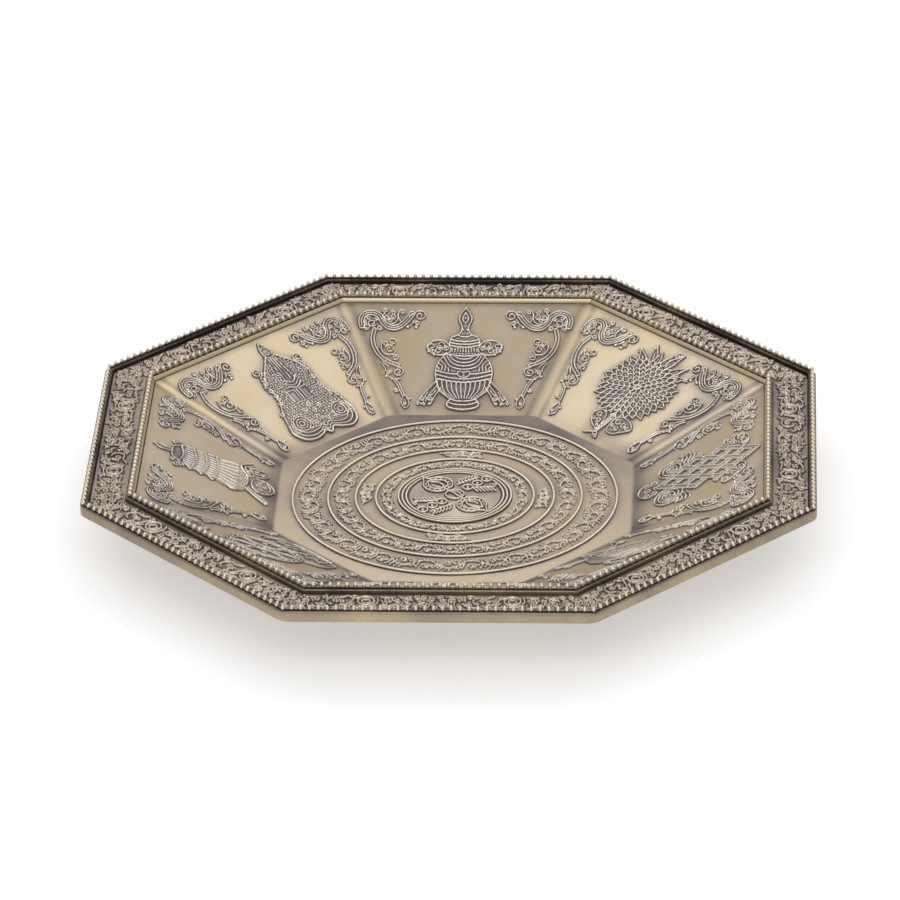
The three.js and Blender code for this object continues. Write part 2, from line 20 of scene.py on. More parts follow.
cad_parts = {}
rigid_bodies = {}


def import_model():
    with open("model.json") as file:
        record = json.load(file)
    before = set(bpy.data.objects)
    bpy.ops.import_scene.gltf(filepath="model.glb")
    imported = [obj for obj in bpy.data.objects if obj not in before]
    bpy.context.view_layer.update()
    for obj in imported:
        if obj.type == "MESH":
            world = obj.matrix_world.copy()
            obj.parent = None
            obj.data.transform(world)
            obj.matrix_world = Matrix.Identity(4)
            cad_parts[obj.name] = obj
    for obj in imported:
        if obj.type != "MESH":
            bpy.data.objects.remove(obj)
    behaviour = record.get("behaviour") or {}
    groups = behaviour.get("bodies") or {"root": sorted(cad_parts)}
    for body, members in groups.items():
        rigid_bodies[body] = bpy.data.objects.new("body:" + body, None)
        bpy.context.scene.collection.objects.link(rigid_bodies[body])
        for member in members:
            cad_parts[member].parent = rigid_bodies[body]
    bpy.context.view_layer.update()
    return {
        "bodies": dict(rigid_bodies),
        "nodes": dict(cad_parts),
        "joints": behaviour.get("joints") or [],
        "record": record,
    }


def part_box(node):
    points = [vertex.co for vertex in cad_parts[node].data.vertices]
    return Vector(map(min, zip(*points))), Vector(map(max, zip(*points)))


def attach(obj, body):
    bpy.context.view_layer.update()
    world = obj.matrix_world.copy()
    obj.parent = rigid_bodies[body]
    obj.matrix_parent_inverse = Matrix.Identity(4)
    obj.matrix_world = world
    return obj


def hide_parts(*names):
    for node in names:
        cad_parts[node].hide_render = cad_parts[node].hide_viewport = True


log = logging.getLogger("tray")

MM = 0.001
SIDES = 8
HALF_ANGLE = math.pi / SIDES
BODY = "root"

# Height above which a point of a drawing counts as raised.
BARE = 0.03

# Painted light and shade on the relief of each sloping wall, as a factor on its share of rubbed metal, counted
# clockwise from the back; 1 on a wall that is not named.
WALL_LIGHT = {0: 1.2, 2: 0.85, 3: 0.62, 4: 0.62, 5: 0.62, 6: 0.72}

Point = tuple[float, float]
Colour = tuple[float, float, float]


class Form(Enum):
    """What a mark raises: a ridge along its line, a plate inside its line, or a round pearl."""

    RIDGE = "ridge"
    PLATE = "plate"
    PEARL = "pearl"


@dataclass(frozen=True)
class Mark:
    """One raised mark of a relief drawing.

    Attributes:
        line: the points that it runs through.
        form: what it raises.
        width: of its ridge.
        top: its height.
        tip: width at its end over that at its start.
        rails: distance between two ridges side by side; 0 draws one.
        smooth: rounds the line through its points.
        closed: joins the last point to the first.
        covers: hides what lies under it.
    """

    line: tuple[Point, ...]
    form: Form = Form.RIDGE
    width: float = 0.5
    top: float = 1.05
    tip: float = 1.0
    rails: float = 0.0
    smooth: bool = True
    closed: bool = False
    covers: bool = False

    def mirrored(self) -> "Mark":
        """Returns the mark turned over left to right."""
        return replace(self, line=tuple((-x, y) for x, y in self.line))

    def moved(self, x: float, y: float) -> "Mark":
        """Returns the mark shifted across and down."""
        return replace(self, line=tuple((a + x, b + y) for a, b in self.line))

    def sampled(self, spacing: float = 0.5) -> np.ndarray:
        """Lists points along the mark's line.

        Args:
            spacing: the longest distance between two points, in millimetres.

        Returns:
            An array of points, one row each.
        """
        points = np.array(self.line, float)
        if len(points) < 2:
            return points
        if self.closed:
            points = np.vstack([points, points[:1]])
        if not self.smooth or len(points) < 3:
            return points
        if self.closed:
            before, after = points[-2], points[1]
        else:
            before, after = 2 * points[0] - points[1], 2 * points[-1] - points[-2]
        controls = np.vstack([before, points, after])
        pieces = [points[:1]]
        for a, b, c, d in zip(controls, controls[1:], controls[2:], controls[3:]):
            count = max(2, int(np.hypot(*(c - b)) / spacing) + 1)
            t = np.linspace(0, 1, count + 1)[1:, None]
            curve = 2 * b + (c - a) * t + (2 * a - 5 * b + 4 * c - d) * t**2 + (3 * b - a - 3 * c + d) * t**3
            pieces.append(curve / 2)
        return np.vstack(pieces)


def ridge(*line: Point, **options: float) -> Mark:
    """Returns a ridge along a smooth line."""
    return Mark(line, **options)


def loop(*line: Point, **options: float) -> Mark:
    """Returns a ridge along a smooth closed line."""
    return Mark(line, closed=True, **options)


def plate(*line: Point, **options: float) -> Mark:
    """Returns a plate with a smooth outline."""
    return Mark(line, form=Form.PLATE, closed=True, **options)


def pearl(x: float, y: float, radius: float, top: float = 1.2) -> Mark:
    """Returns a round boss."""
    return Mark(((x, y),), form=Form.PEARL, width=2 * radius, top=top)


def curl(x: float, y: float, radius: float, start: float, turns: float = 1.4, hand: int = 1,
         lead: Sequence[Point] = (), shrink: float = 0.8, **options: float) -> Mark:
    """Returns a volute that winds inwards round a centre.

    Args:
        x: across to the centre.
        y: down to the centre.
        radius: of its outer end.
        start: angle of its outer end in degrees, 0 to the right and 90 downwards.
        turns: how many turns it makes.
        hand: 1 when it winds clockwise, -1 when it winds the other way.
        lead: points that its line runs through before the volute.
        shrink: share of the radius that it loses on the way in.
        **options: sizes of the mark.
    """
    count = max(5, round(7 * turns))
    points = list(lead)
    for step in range(count + 1):
        share = step / count
        reach = radius * (1 - shrink * share)
        angle = math.radians(start + hand * 360 * turns * share)
        points.append((x + reach * math.cos(angle), y + reach * math.sin(angle)))
    return Mark(tuple(points), **options)


def both(marks: Iterable[Mark]) -> list[Mark]:
    """Returns marks followed by their mirror images."""
    kept = list(marks)
    return kept + [mark.mirrored() for mark in kept]


def twin(*right: Point) -> list[Point]:
    """Returns the outline of a mirrored shape from the points of its right half."""
    return [*right, *((-x, y) for x, y in reversed(right) if x)]


def nearest(points: np.ndarray, line: np.ndarray) -> tuple[np.ndarray, np.ndarray]:
    """Measures points against a line.

    Args:
        points: one point a row.
        line: the line's points, one a row.

    Returns:
        Each point's distance to the line, and how far along the line its nearest place is, from 0 to 1.
    """
    if len(line) == 1:
        return np.hypot(*(points - line[0]).T), np.zeros(len(points))
    start, run = line[:-1], line[1:] - line[:-1]
    length = np.maximum((run**2).sum(1), 1e-12)
    offset = points[:, None, :] - start[None]
    along = np.clip((offset * run[None]).sum(2) / length, 0, 1)
    distance = ((offset - along[..., None] * run[None]) ** 2).sum(2)
    best = distance.argmin(1)
    rows = np.arange(len(points))
    return np.sqrt(distance[rows, best]), (best + along[rows, best]) / len(run)


def inside(points: np.ndarray, line: np.ndarray) -> np.ndarray:
    """Says which points lie inside a closed line."""
    x, y = points[:, :1], points[:, 1:]
    ax, ay = line[:-1].T
    bx, by = line[1:].T
    rise = np.where(by == ay, 1e-12, by - ay)
    crosses = ((ay > y) != (by > y)) & (x < (bx - ax) * (y - ay) / rise + ax)
    return crosses.sum(1) % 2 == 1


def blurred(heights: np.ndarray, reach: int) -> np.ndarray:
    """Returns heights smoothed over a distance of so many steps."""
    result = heights
    for axis in (0, 1):
        for _ in range(2):
            padded = np.pad(result, [(reach + 1, reach) if a == axis else (0, 0) for a in (0, 1)], "edge")
            total = padded.cumsum(axis)
            high = np.take(total, range(2 * reach + 1, total.shape[axis]), axis)
            low = np.take(total, range(0, total.shape[axis] - 2 * reach - 1), axis)
            result = (high - low) / (2 * reach + 1)
    return result


@dataclass
class Canvas:
    """A flat rectangle on which a relief is painted as heights."""

    left: float
    top: float
    right: float
    bottom: float
    step: float = 0.22
    height: np.ndarray = field(init=False)

    EDGE = 0.45  # width of the slope at a plate's edge
    GROOVE = 0.4  # height between two rails over that of the rails
    SLIM = 0.88  # painted width of a ridge over its named width
    BASE_RUB = 0.3  # share of rubbed metal on level ground
    RIDGE_RUB = 2.8  # gain for what stands above its surroundings
    HIGH_RUB = 0.55  # gain for what stands high

    def __post_init__(self) -> None:
        """Lays out the blank grid."""
        columns = round((self.right - self.left) / self.step) + 1
        rows = round((self.bottom - self.top) / self.step) + 1
        self.right, self.bottom = self.left + (columns - 1) * self.step, self.top + (rows - 1) * self.step
        self.x = np.linspace(self.left, self.right, columns)
        self.y = np.linspace(self.top, self.bottom, rows)
        self.height = np.zeros((rows, columns))

    def paint(self, marks: Iterable[Mark]) -> "Canvas":
        """Raises marks on the canvas, in order, and returns the canvas."""
        for mark in marks:
            self._paint_one(mark)
        return self

    def _paint_one(self, mark: Mark) -> None:
        """Raises one mark."""
        line = mark.sampled()
        reach = (mark.width + mark.rails) / 2 + self.step
        columns = np.flatnonzero((self.x > line[:, 0].min() - reach) & (self.x < line[:, 0].max() + reach))
        rows = np.flatnonzero((self.y > line[:, 1].min() - reach) & (self.y < line[:, 1].max() + reach))
        if not len(columns) or not len(rows):
            return
        window = np.s_[rows[0]:rows[-1] + 1, columns[0]:columns[-1] + 1]
        grid_x, grid_y = np.meshgrid(self.x[columns], self.y[rows])
        points = np.column_stack([grid_x.ravel(), grid_y.ravel()])
        distance, share = nearest(points, line)
        value, footprint = self._raised(mark, points, line, distance, share)
        old = self.height[window].ravel()
        new = np.where(footprint, value, old) if mark.covers else np.maximum(old, value)
        self.height[window] = new.reshape(grid_x.shape)

    def _raised(self, mark: Mark, points: np.ndarray, line: np.ndarray, distance: np.ndarray,
                share: np.ndarray) -> tuple[np.ndarray, np.ndarray]:
        """Works out one mark's heights.

        Args:
            mark: the mark.
            points: the grid points to raise.
            line: the mark's sampled line.
            distance: from each point to the line.
            share: how far along the line each point's nearest place is.

        Returns:
            The height at each point, and which points the mark takes up.
        """
        if mark.form is Form.PLATE:
            within = inside(points, line)
            depth = np.where(within, distance, -distance)
            return mark.top * np.clip(depth / self.EDGE + 0.5, 0, 1), within
        taper = 1 + (mark.tip - 1) * share
        half = mark.width / 2 * taper * self.SLIM
        if mark.rails:
            track = mark.rails / 2 * taper
            value = mark.top * np.clip(1 - ((distance - track) / half) ** 2, 0, 1) ** 0.6
            between = distance < track
            value = np.where(between, np.maximum(value, mark.top * self.GROOVE), value)
            return value, distance < track + half
        power = 0.5 if mark.form is Form.PEARL else 0.6
        return mark.top * np.clip(1 - (distance / half) ** 2, 0, 1) ** power, distance < half

    def bed(self, top: float = 0.42, reach: float = 0.45) -> "Canvas":
        """Lays a low plateau under the marks and across the narrow gaps between them.

        Args:
            top: height of the plateau.
            reach: how far it spreads beyond a mark, in millimetres.

        Returns:
            The canvas.
        """
        near = blurred((self.height > 0.1).astype(float), max(1, round(reach / self.step)))
        self.height = np.maximum(self.height, top * np.clip((near - 0.2) / 0.25, 0, 1))
        return self

    def mirrored(self) -> "Canvas":
        """Returns the canvas turned over left to right."""
        other = Canvas(-self.right, self.top, -self.left, self.bottom, self.step)
        other.height = self.height[:, ::-1].copy()
        return other

    def rub(self) -> np.ndarray:
        """Says how much each place is rubbed bright, from 0 in a groove to 1 on a ridge; the dark of the grooves is
        patina together with painted shade.
        """
        shape = np.maximum(self.height, 0.2)
        near = blurred(shape, max(1, round(0.5 / self.step)))
        high = np.clip((shape - 0.5) / 0.45, 0, 1)
        return np.clip(self.BASE_RUB + (shape - near) * self.RIDGE_RUB + self.HIGH_RUB * high, 0, 1)

    def shade(self, near: float = 0.6, far: float = 3.2) -> "Canvas":
        """Returns a wider canvas of how close the relief is, fading over a near and a far distance."""
        pad = round(2 * far / self.step)
        grow = pad * self.step
        other = Canvas(self.left - grow, self.top - grow, self.right + grow, self.bottom + grow, self.step)
        there = np.pad((self.height > 0.05).astype(float), pad)
        close, wide = (blurred(there, max(1, round(reach / self.step))) for reach in (near, far))
        other.height = 0.3 * close + 0.6 * np.minimum(1, 1.5 * wide)
        return other

    def sampled(self, x: np.ndarray, y: np.ndarray) -> np.ndarray:
        """Reads the canvas at points, with 0 outside it."""
        column = (x - self.left) / (self.right - self.left) * (len(self.x) - 1)
        row = (y - self.top) / (self.bottom - self.top) * (len(self.y) - 1)
        known = (column >= 0) & (column <= len(self.x) - 1) & (row >= 0) & (row <= len(self.y) - 1)
        column = np.clip(np.round(column), 0, len(self.x) - 1).astype(int)
        row = np.clip(np.round(row), 0, len(self.y) - 1).astype(int)
        return np.where(known, self.height[row, column], 0.0)


@dataclass(frozen=True)
class Plan:
    """The tray's main sizes in millimetres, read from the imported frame."""

    outer: float
    mouth: float
    floor: float
    rim_top: float
    skirt_bottom: float
    seam: float
    floor_top: float
    band_bottom: float
    band_inner: float
    band_outer: float

    @classmethod
    def from_frame(cls, nodes: dict) -> "Plan":
        """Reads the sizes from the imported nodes."""
        pan = np.array([v.co for v in nodes["pan"].data.vertices]) / MM
        seam = pan[:, 2].max()
        mouth = pan[pan[:, 2] > seam - 0.05][:, 1].max()
        levels = pan[np.hypot(pan[:, 0], pan[:, 1]) < 1][:, 2]
        floor_top = levels.max()
        flat = pan[(abs(pan[:, 2] - floor_top) < 0.05)]
        rim_low, rim_high = (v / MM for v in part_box("rim_frame"))
        band_low, band_high = (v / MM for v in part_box("scroll_band_1"))
        return cls(
            outer=rim_high.y, mouth=mouth, floor=flat[:, 1].max(), rim_top=rim_high.z,
            skirt_bottom=rim_low.z, seam=seam, floor_top=floor_top, band_bottom=band_low.z,
            band_inner=band_low.y, band_outer=band_high.y,
        )

    @property
    def slope(self) -> float:
        """Angle of a sloping wall above the level."""
        return math.atan2(self.seam - self.floor_top, self.mouth - self.floor)

    @property
    def slope_length(self) -> float:
        """Length of a sloping wall from the seam to the floor."""
        return math.hypot(self.seam - self.floor_top, self.mouth - self.floor)

    def side(self, place: int) -> Matrix:
        """Returns the turn that takes the back side to another one, clockwise from above."""
        return Matrix.Rotation(-2 * HALF_ANGLE * place, 4, "Z")

    def wall(self, place: int) -> Matrix:
        """Returns the frame of a drawing on a sloping wall, from millimetres to metres."""
        seat = Matrix.Translation((0, self.mouth * MM, self.seam * MM))
        lean = Matrix.Rotation(self.slope, 4, "X")
        return self.side(place) @ seat @ lean @ Matrix.Scale(MM, 4)


def link(name: str, mesh: bpy.types.Mesh) -> bpy.types.Object:
    """Adds a mesh to the scene as an object."""
    piece = bpy.data.objects.new(name, mesh)
    bpy.context.scene.collection.objects.link(piece)
    return piece


def to_mesh(name: str, bm: bmesh.types.BMesh, smooth_angle: float | None = None) -> bpy.types.Mesh:
    """Turns a bmesh into a mesh.

    Args:
        name: the mesh's name.
        bm: the bmesh, which is freed.
        smooth_angle: edges sharper than this many degrees stay sharp; None shades all faces smooth.
    """
    mesh = bpy.data.meshes.new(name)
    for face in bm.faces:
        face.smooth = True
    if smooth_angle is not None:
        limit = math.radians(smooth_angle)
        for edge in bm.edges:
            edge.smooth = len(edge.link_faces) == 2 and edge.calc_face_angle(0) < limit
    bm.to_mesh(mesh)
    bm.free()
    return mesh


def raise_mesh(name: str, canvas: Canvas, sink: float = 0.18, whole: bool = False, lift: float = 1.0,
               trim: Callable[[bmesh.types.BMesh], None] | None = None,
               bend: Callable[[Vector], Vector] | None = None) -> bpy.types.Mesh:
    """Makes a closed mesh from a painted canvas.

    Args:
        name: the mesh's name.
        canvas: the painted heights.
        sink: how far the edge of the relief goes below the surface that carries it.
        whole: keeps the ground of the canvas too, not only what is raised.
        lift: factor on the painted heights.
        trim: cuts the flat relief.
        bend: takes a point of the flat relief, with y up, to its place.

    Returns:
        The mesh, with its share of rubbed metal and painted shade on its points.
    """
    bm = bmesh.new()
    layer = bm.verts.layers.float.new("rub")
    columns, rows = len(canvas.x), len(canvas.y)
    bmesh.ops.create_grid(bm, x_segments=columns - 1, y_segments=rows - 1, size=1)
    rub = canvas.rub()
    low = min(v.co.x for v in bm.verts)
    span = max(v.co.x for v in bm.verts) - low
    for vert in bm.verts:
        column = round((vert.co.x - low) / span * (columns - 1))
        row = rows - 1 - round((vert.co.y - low) / span * (rows - 1))
        height = canvas.height[row, column]
        vert.tag = bool(height > BARE)
        vert[layer] = rub[row, column]
        vert.co = (canvas.x[column], -canvas.y[row], height * lift if whole or vert.tag else -sink)
    if not whole:
        bare = [f for f in bm.faces if not any(v.tag for v in f.verts)]
        bmesh.ops.delete(bm, geom=bare, context="FACES")
    if trim:
        trim(bm)
    close_below(bm, sink)
    if bend:
        for vert in bm.verts:
            vert.co = bend(vert.co)
    return to_mesh(name, bm)


def copied(mesh: bpy.types.Mesh, name: str, frame: Matrix) -> bpy.types.Mesh:
    """Returns a copy of a mesh, moved into a frame."""
    other = mesh.copy()
    other.name = name
    other.transform(frame)
    return other


def paint_wall_light(mesh: bpy.types.Mesh, share: float) -> None:
    """Paints a mesh lighter or darker as a whole, by a factor on its share of rubbed metal: painted light and shade."""
    layer = mesh.attributes["rub"].data
    rub = np.empty(len(layer), np.float32)
    layer.foreach_get("value", rub)
    layer.foreach_set("value", rub * share)


def part_corners(bm: bmesh.types.BMesh) -> None:
    """Takes away faces that touch others only at a corner, so that every edge of a relief is one clean loop."""
    while True:
        for vert in bm.verts:
            vert.tag = sum(edge.is_boundary for edge in vert.link_edges) > 2
        pinched = [face for face in bm.faces if any(vert.tag for vert in face.verts)]
        if not pinched:
            return
        bmesh.ops.delete(bm, geom=pinched, context="FACES")


def close_below(bm: bmesh.types.BMesh, sink: float) -> None:
    """Closes an open relief with a wall down from its edge and a flat bottom."""
    part_corners(bm)
    edges = [e for e in bm.edges if e.is_boundary]
    made = bmesh.ops.extrude_edge_only(bm, edges=edges)["geom"]
    for vert in (g for g in made if isinstance(g, bmesh.types.BMVert)):
        vert.co.z = -sink - 0.1
    rim = [g for g in made if isinstance(g, bmesh.types.BMEdge) and g.is_boundary]
    bmesh.ops.triangle_fill(bm, edges=rim, use_beauty=False, use_dissolve=False, normal=(0, 0, -1))


def lathe(bm: bmesh.types.BMesh, profile: Sequence[Point], steps: int) -> None:
    """Turns a profile of radius and height, in millimetres, into a solid of revolution.

    Args:
        bm: the bmesh that gets the solid.
        profile: points of radius and height, the last of which joins the first.
        steps: number of steps round the axis; 8 gives an octagon whose flat sides have those radii.
    """
    turn = Matrix.Rotation(HALF_ANGLE, 3, "Z") if steps == SIDES else Matrix.Identity(3)
    grow = 1 / math.cos(HALF_ANGLE) if steps == SIDES else 1
    verts = [bm.verts.new(turn @ Vector((r * grow * MM, 0, z * MM))) for r, z in profile]
    edges = [bm.edges.new(pair) for pair in zip(verts, verts[1:] + verts[:1])]
    bmesh.ops.spin(bm, geom=verts + edges, cent=(0, 0, 0), axis=(0, 0, 1), dvec=(0, 0, 0), angle=2 * math.pi,
                   steps=steps, use_merge=True, use_normal_flip=False, use_duplicate=False)
    bmesh.ops.remove_doubles(bm, verts=bm.verts[:], dist=1e-7)
    bmesh.ops.recalc_face_normals(bm, faces=bm.faces[:])


def set_rub_and_shade(bm: bmesh.types.BMesh, rule: Callable[[Vector], float]) -> None:
    """Gives every point its share of rubbed metal, with any painted light and shade, by a rule on its place in
    millimetres.
    """
    layer = bm.verts.layers.float.get("rub") or bm.verts.layers.float.new("rub")
    for vert in bm.verts:
        vert[layer] = min(1.0, max(0.0, rule(vert.co / MM)))


def apothem(point: Vector) -> float:
    """Returns the apothem of the octagon that a point lies on."""
    angle = math.atan2(point.y, point.x)
    nearest_side = round(angle / (2 * HALF_ANGLE)) * 2 * HALF_ANGLE
    return math.hypot(point.x, point.y) * math.cos(angle - nearest_side)


def bell(distance: float, width: float) -> float:
    """Returns a smooth bump that is 1 at no distance and fades over a width."""
    return math.exp(-((distance / width) ** 2))


def bells(distances: np.ndarray, width: float) -> np.ndarray:
    """Returns the same bump for many distances."""
    return np.exp(-((distances / width) ** 2))


def colour(code: str) -> Colour:
    """Returns the linear colour of a hexadecimal code."""
    parts = [int(code[i:i + 2], 16) / 255 for i in (0, 2, 4)]
    return tuple(p / 12.92 if p <= 0.04045 else ((p + 0.055) / 1.055) ** 2.4 for p in parts)


class Nodes:
    """A short way to build a node material."""

    def __init__(self, name: str) -> None:
        """Starts a material with one Principled shader."""
        self.material = bpy.data.materials.new(name)
        self.material.use_nodes = True
        self.tree = self.material.node_tree
        self.shader = self.tree.nodes["Principled BSDF"]

    def add(self, kind: str, values: dict | None = None, **settings: object) -> bpy.types.Node:
        """Adds a node.

        Args:
            kind: the node's type without its prefix.
            values: values or sockets for its inputs, by name or place.
            **settings: the node's own properties.

        Returns:
            The node.
        """
        node = self.tree.nodes.new("ShaderNode" + kind)
        for key, value in settings.items():
            setattr(node, key, value)
        for key, value in (values or {}).items():
            self.feed(node.inputs[key], value)
        return node

    def feed(self, socket: bpy.types.NodeSocket, value: object) -> None:
        """Links a socket to another one, or sets its value."""
        if isinstance(value, bpy.types.NodeSocket):
            self.tree.links.new(value, socket)
        elif isinstance(value, tuple) and len(value) == 3 and socket.type == "RGBA":
            socket.default_value = (*value, 1)
        else:
            socket.default_value = value

    def maths(self, kind: str, a: object, b: object = 0.0, clamp: bool = False) -> bpy.types.NodeSocket:
        """Returns the result of a sum on one or two values."""
        return self.add("Math", {0: a, 1: b}, operation=kind, use_clamp=clamp).outputs[0]

    def blend(self, share: object, a: object, b: object) -> bpy.types.NodeSocket:
        """Returns a mix of two colours."""
        node = self.add("Mix", data_type="RGBA")
        factor, first, second, result = 0, 6, 7, 2  # a Mix node's sockets for colours
        for place, value in ((factor, share), (first, a), (second, b)):
            self.feed(node.inputs[place], value)
        return node.outputs[result]

    def spread(self, value: object, low: float, high: float, first: float = 0.0,
               last: float = 1.0) -> bpy.types.NodeSocket:
        """Returns a value carried from one range to another, held within it."""
        node = self.add("MapRange", {0: value, 1: low, 2: high, 3: first, 4: last}, clamp=True)
        return node.outputs[0]

    def noise(self, place: object, scale: float, detail: float = 3.0, rough: float = 0.55) -> bpy.types.NodeSocket:
        """Returns noise of so many grains a metre."""
        values = {"Vector": place, "Scale": scale, "Detail": detail, "Roughness": rough}
        return self.add("TexNoise", values).outputs[0]


@dataclass(frozen=True)
class AntiqueBrass:
    """Cast brass: dark patina and painted shade in the hollows, rubbed metal on what stands up, and a fine satin grain.

    Attributes:
        name: the material's name.
        metal: colour of the rubbed metal.
        warm: colour of the rubbed metal where it is yellower.
        patina: colour in the hollows.
        polish: roughness of the rubbed metal.
        dull: roughness of the patina.
        brushed: brushes the surface along the UV map brush.
        speckle: how far fine specks change the share of rubbed metal.
        clouds: how far broad clouds change it.
        streaks: how far the brush marks change it.
    """

    name: str
    metal: str
    warm: str
    patina: str
    polish: float
    dull: float = 0.55
    brushed: bool = False
    speckle: float = 0.07
    clouds: float = 0.15
    streaks: float = 0.09

    CLOUD_SCALE = 34.0  # grains a metre
    SPECK_SCALE = 1400.0
    GRAIN_SCALE = 5200.0
    BRUSH = (420.0, 9.0, 1.0)  # how much finer the brush marks are across than along

    def build(self) -> bpy.types.Material:
        """Returns the material. It reads the share of rubbed metal and painted shade from its attribute, and the UV map
        brush where it is brushed.
        """
        n = Nodes(self.name)
        place = n.add("TexCoord").outputs["Object"]
        rub = n.add("Attribute", attribute_name="rub").outputs["Fac"]
        cloud = n.noise(place, self.CLOUD_SCALE, 5, 0.62)
        speck = n.noise(place, self.SPECK_SCALE, 3, 0.6)
        share = n.maths("ADD", rub, n.spread(speck, 0.25, 0.75, -self.speckle, self.speckle))
        share = n.maths("ADD", share, n.spread(cloud, 0.32, 0.68, -self.clouds, self.clouds), clamp=True)
        grain = n.noise(place, self.GRAIN_SCALE, 2)
        if self.brushed:
            uv = n.add("UVMap", uv_map="brush").outputs[0]
            along = n.add("Mapping", {"Vector": uv, "Scale": self.BRUSH}).outputs[0]
            grain = n.noise(along, 3.0, 4, 0.65)
            share = n.maths("ADD", share, n.spread(grain, 0.3, 0.7, -self.streaks, self.streaks), clamp=True)
        metal = n.blend(n.spread(cloud, 0.35, 0.65), colour(self.metal), colour(self.warm))
        tone = n.spread(share, 0.08, 0.85)
        n.feed(n.shader.inputs["Base Color"], n.blend(tone, colour(self.patina), metal))
        n.feed(n.shader.inputs["Metallic"], 1.0)
        rough = n.spread(share, 0.1, 0.9, self.dull, self.polish)
        rough = n.maths("ADD", rough, n.spread(grain, 0.3, 0.7, -0.05, 0.05))
        n.feed(n.shader.inputs["Roughness"], rough)
        bump = n.add("Bump", {"Strength": 0.18, "Distance": 0.00006, "Height": n.maths("ADD", grain, speck)})
        n.feed(n.shader.inputs["Normal"], bump.outputs[0])
        return n.material


FIELD = AntiqueBrass("antique_brass_field", metal="CABBA7", warm="C2B090", patina="736B6C", brushed=True, polish=0.36)
RIM = AntiqueBrass("rubbed_brass_rim", metal="E2D4BA", warm="D6C49C", patina="4A4142", polish=0.42)
BEADS = AntiqueBrass("polished_brass_beads", metal="EDE5D6", warm="E4D8BE", patina="463E3E", polish=0.27)
BAND = AntiqueBrass("dark_scrollwork_brass", metal="E4D8C9", warm="DACBB8", patina="544A4A", polish=0.36)
RELIEF = AntiqueBrass("rubbed_brass_relief", metal="FDF6EA", warm="F8EEDA", patina="6A5F60", polish=0.34)
FLOOR_RELIEF = AntiqueBrass("dark_brass_floor_relief", metal="EFE5D6", warm="E7DBC4", patina="5C5253", polish=0.36)


@dataclass
class Piece:
    """A finished piece: its mesh, the nodes it stands for, its slot and its finish."""

    name: str
    mesh: bpy.types.Mesh
    finish: AntiqueBrass
    slot: str
    stands_for: tuple[str, ...] = ()

    def place(self, materials: dict[str, bpy.types.Material]) -> None:
        """Adds the piece to the tray.

        Args:
            materials: finished materials by name, to which a new one is added.
        """
        if self.finish.name not in materials:
            materials[self.finish.name] = self.finish.build()
        thing = link(self.name, self.mesh)
        self.mesh.materials.append(materials[self.finish.name])
        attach(thing, BODY)
        if self.stands_for:
            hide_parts(*self.stands_for)
        faces = sum(len(p.vertices) - 2 for p in self.mesh.polygons)
        log.info("%s: %d triangles", self.name, faces)


def cord(*line: Point, gap: float = 1.5, **options: float) -> list[Mark]:
    """Draws three lines side by side, as one strand.

    Args:
        *line: points of its middle.
        gap: distance between its outer lines, in millimetres.
        **options: sizes of the marks.
    """
    return [Mark(line, rails=gap, **options), Mark(line, **{**options, "width": 0.42})]


def knots(*circles: tuple[float, float, float], **options: float) -> list[Mark]:
    """Draws small tight volutes, each given by its centre and radius."""
    return [curl(x, y, 1.22 * r, 90 * (k % 4) + 20, 1.2, 1 - 2 * (k % 2), shrink=0.66, **{**options, "width": 0.42})
            for k, (x, y, r) in enumerate(circles)]


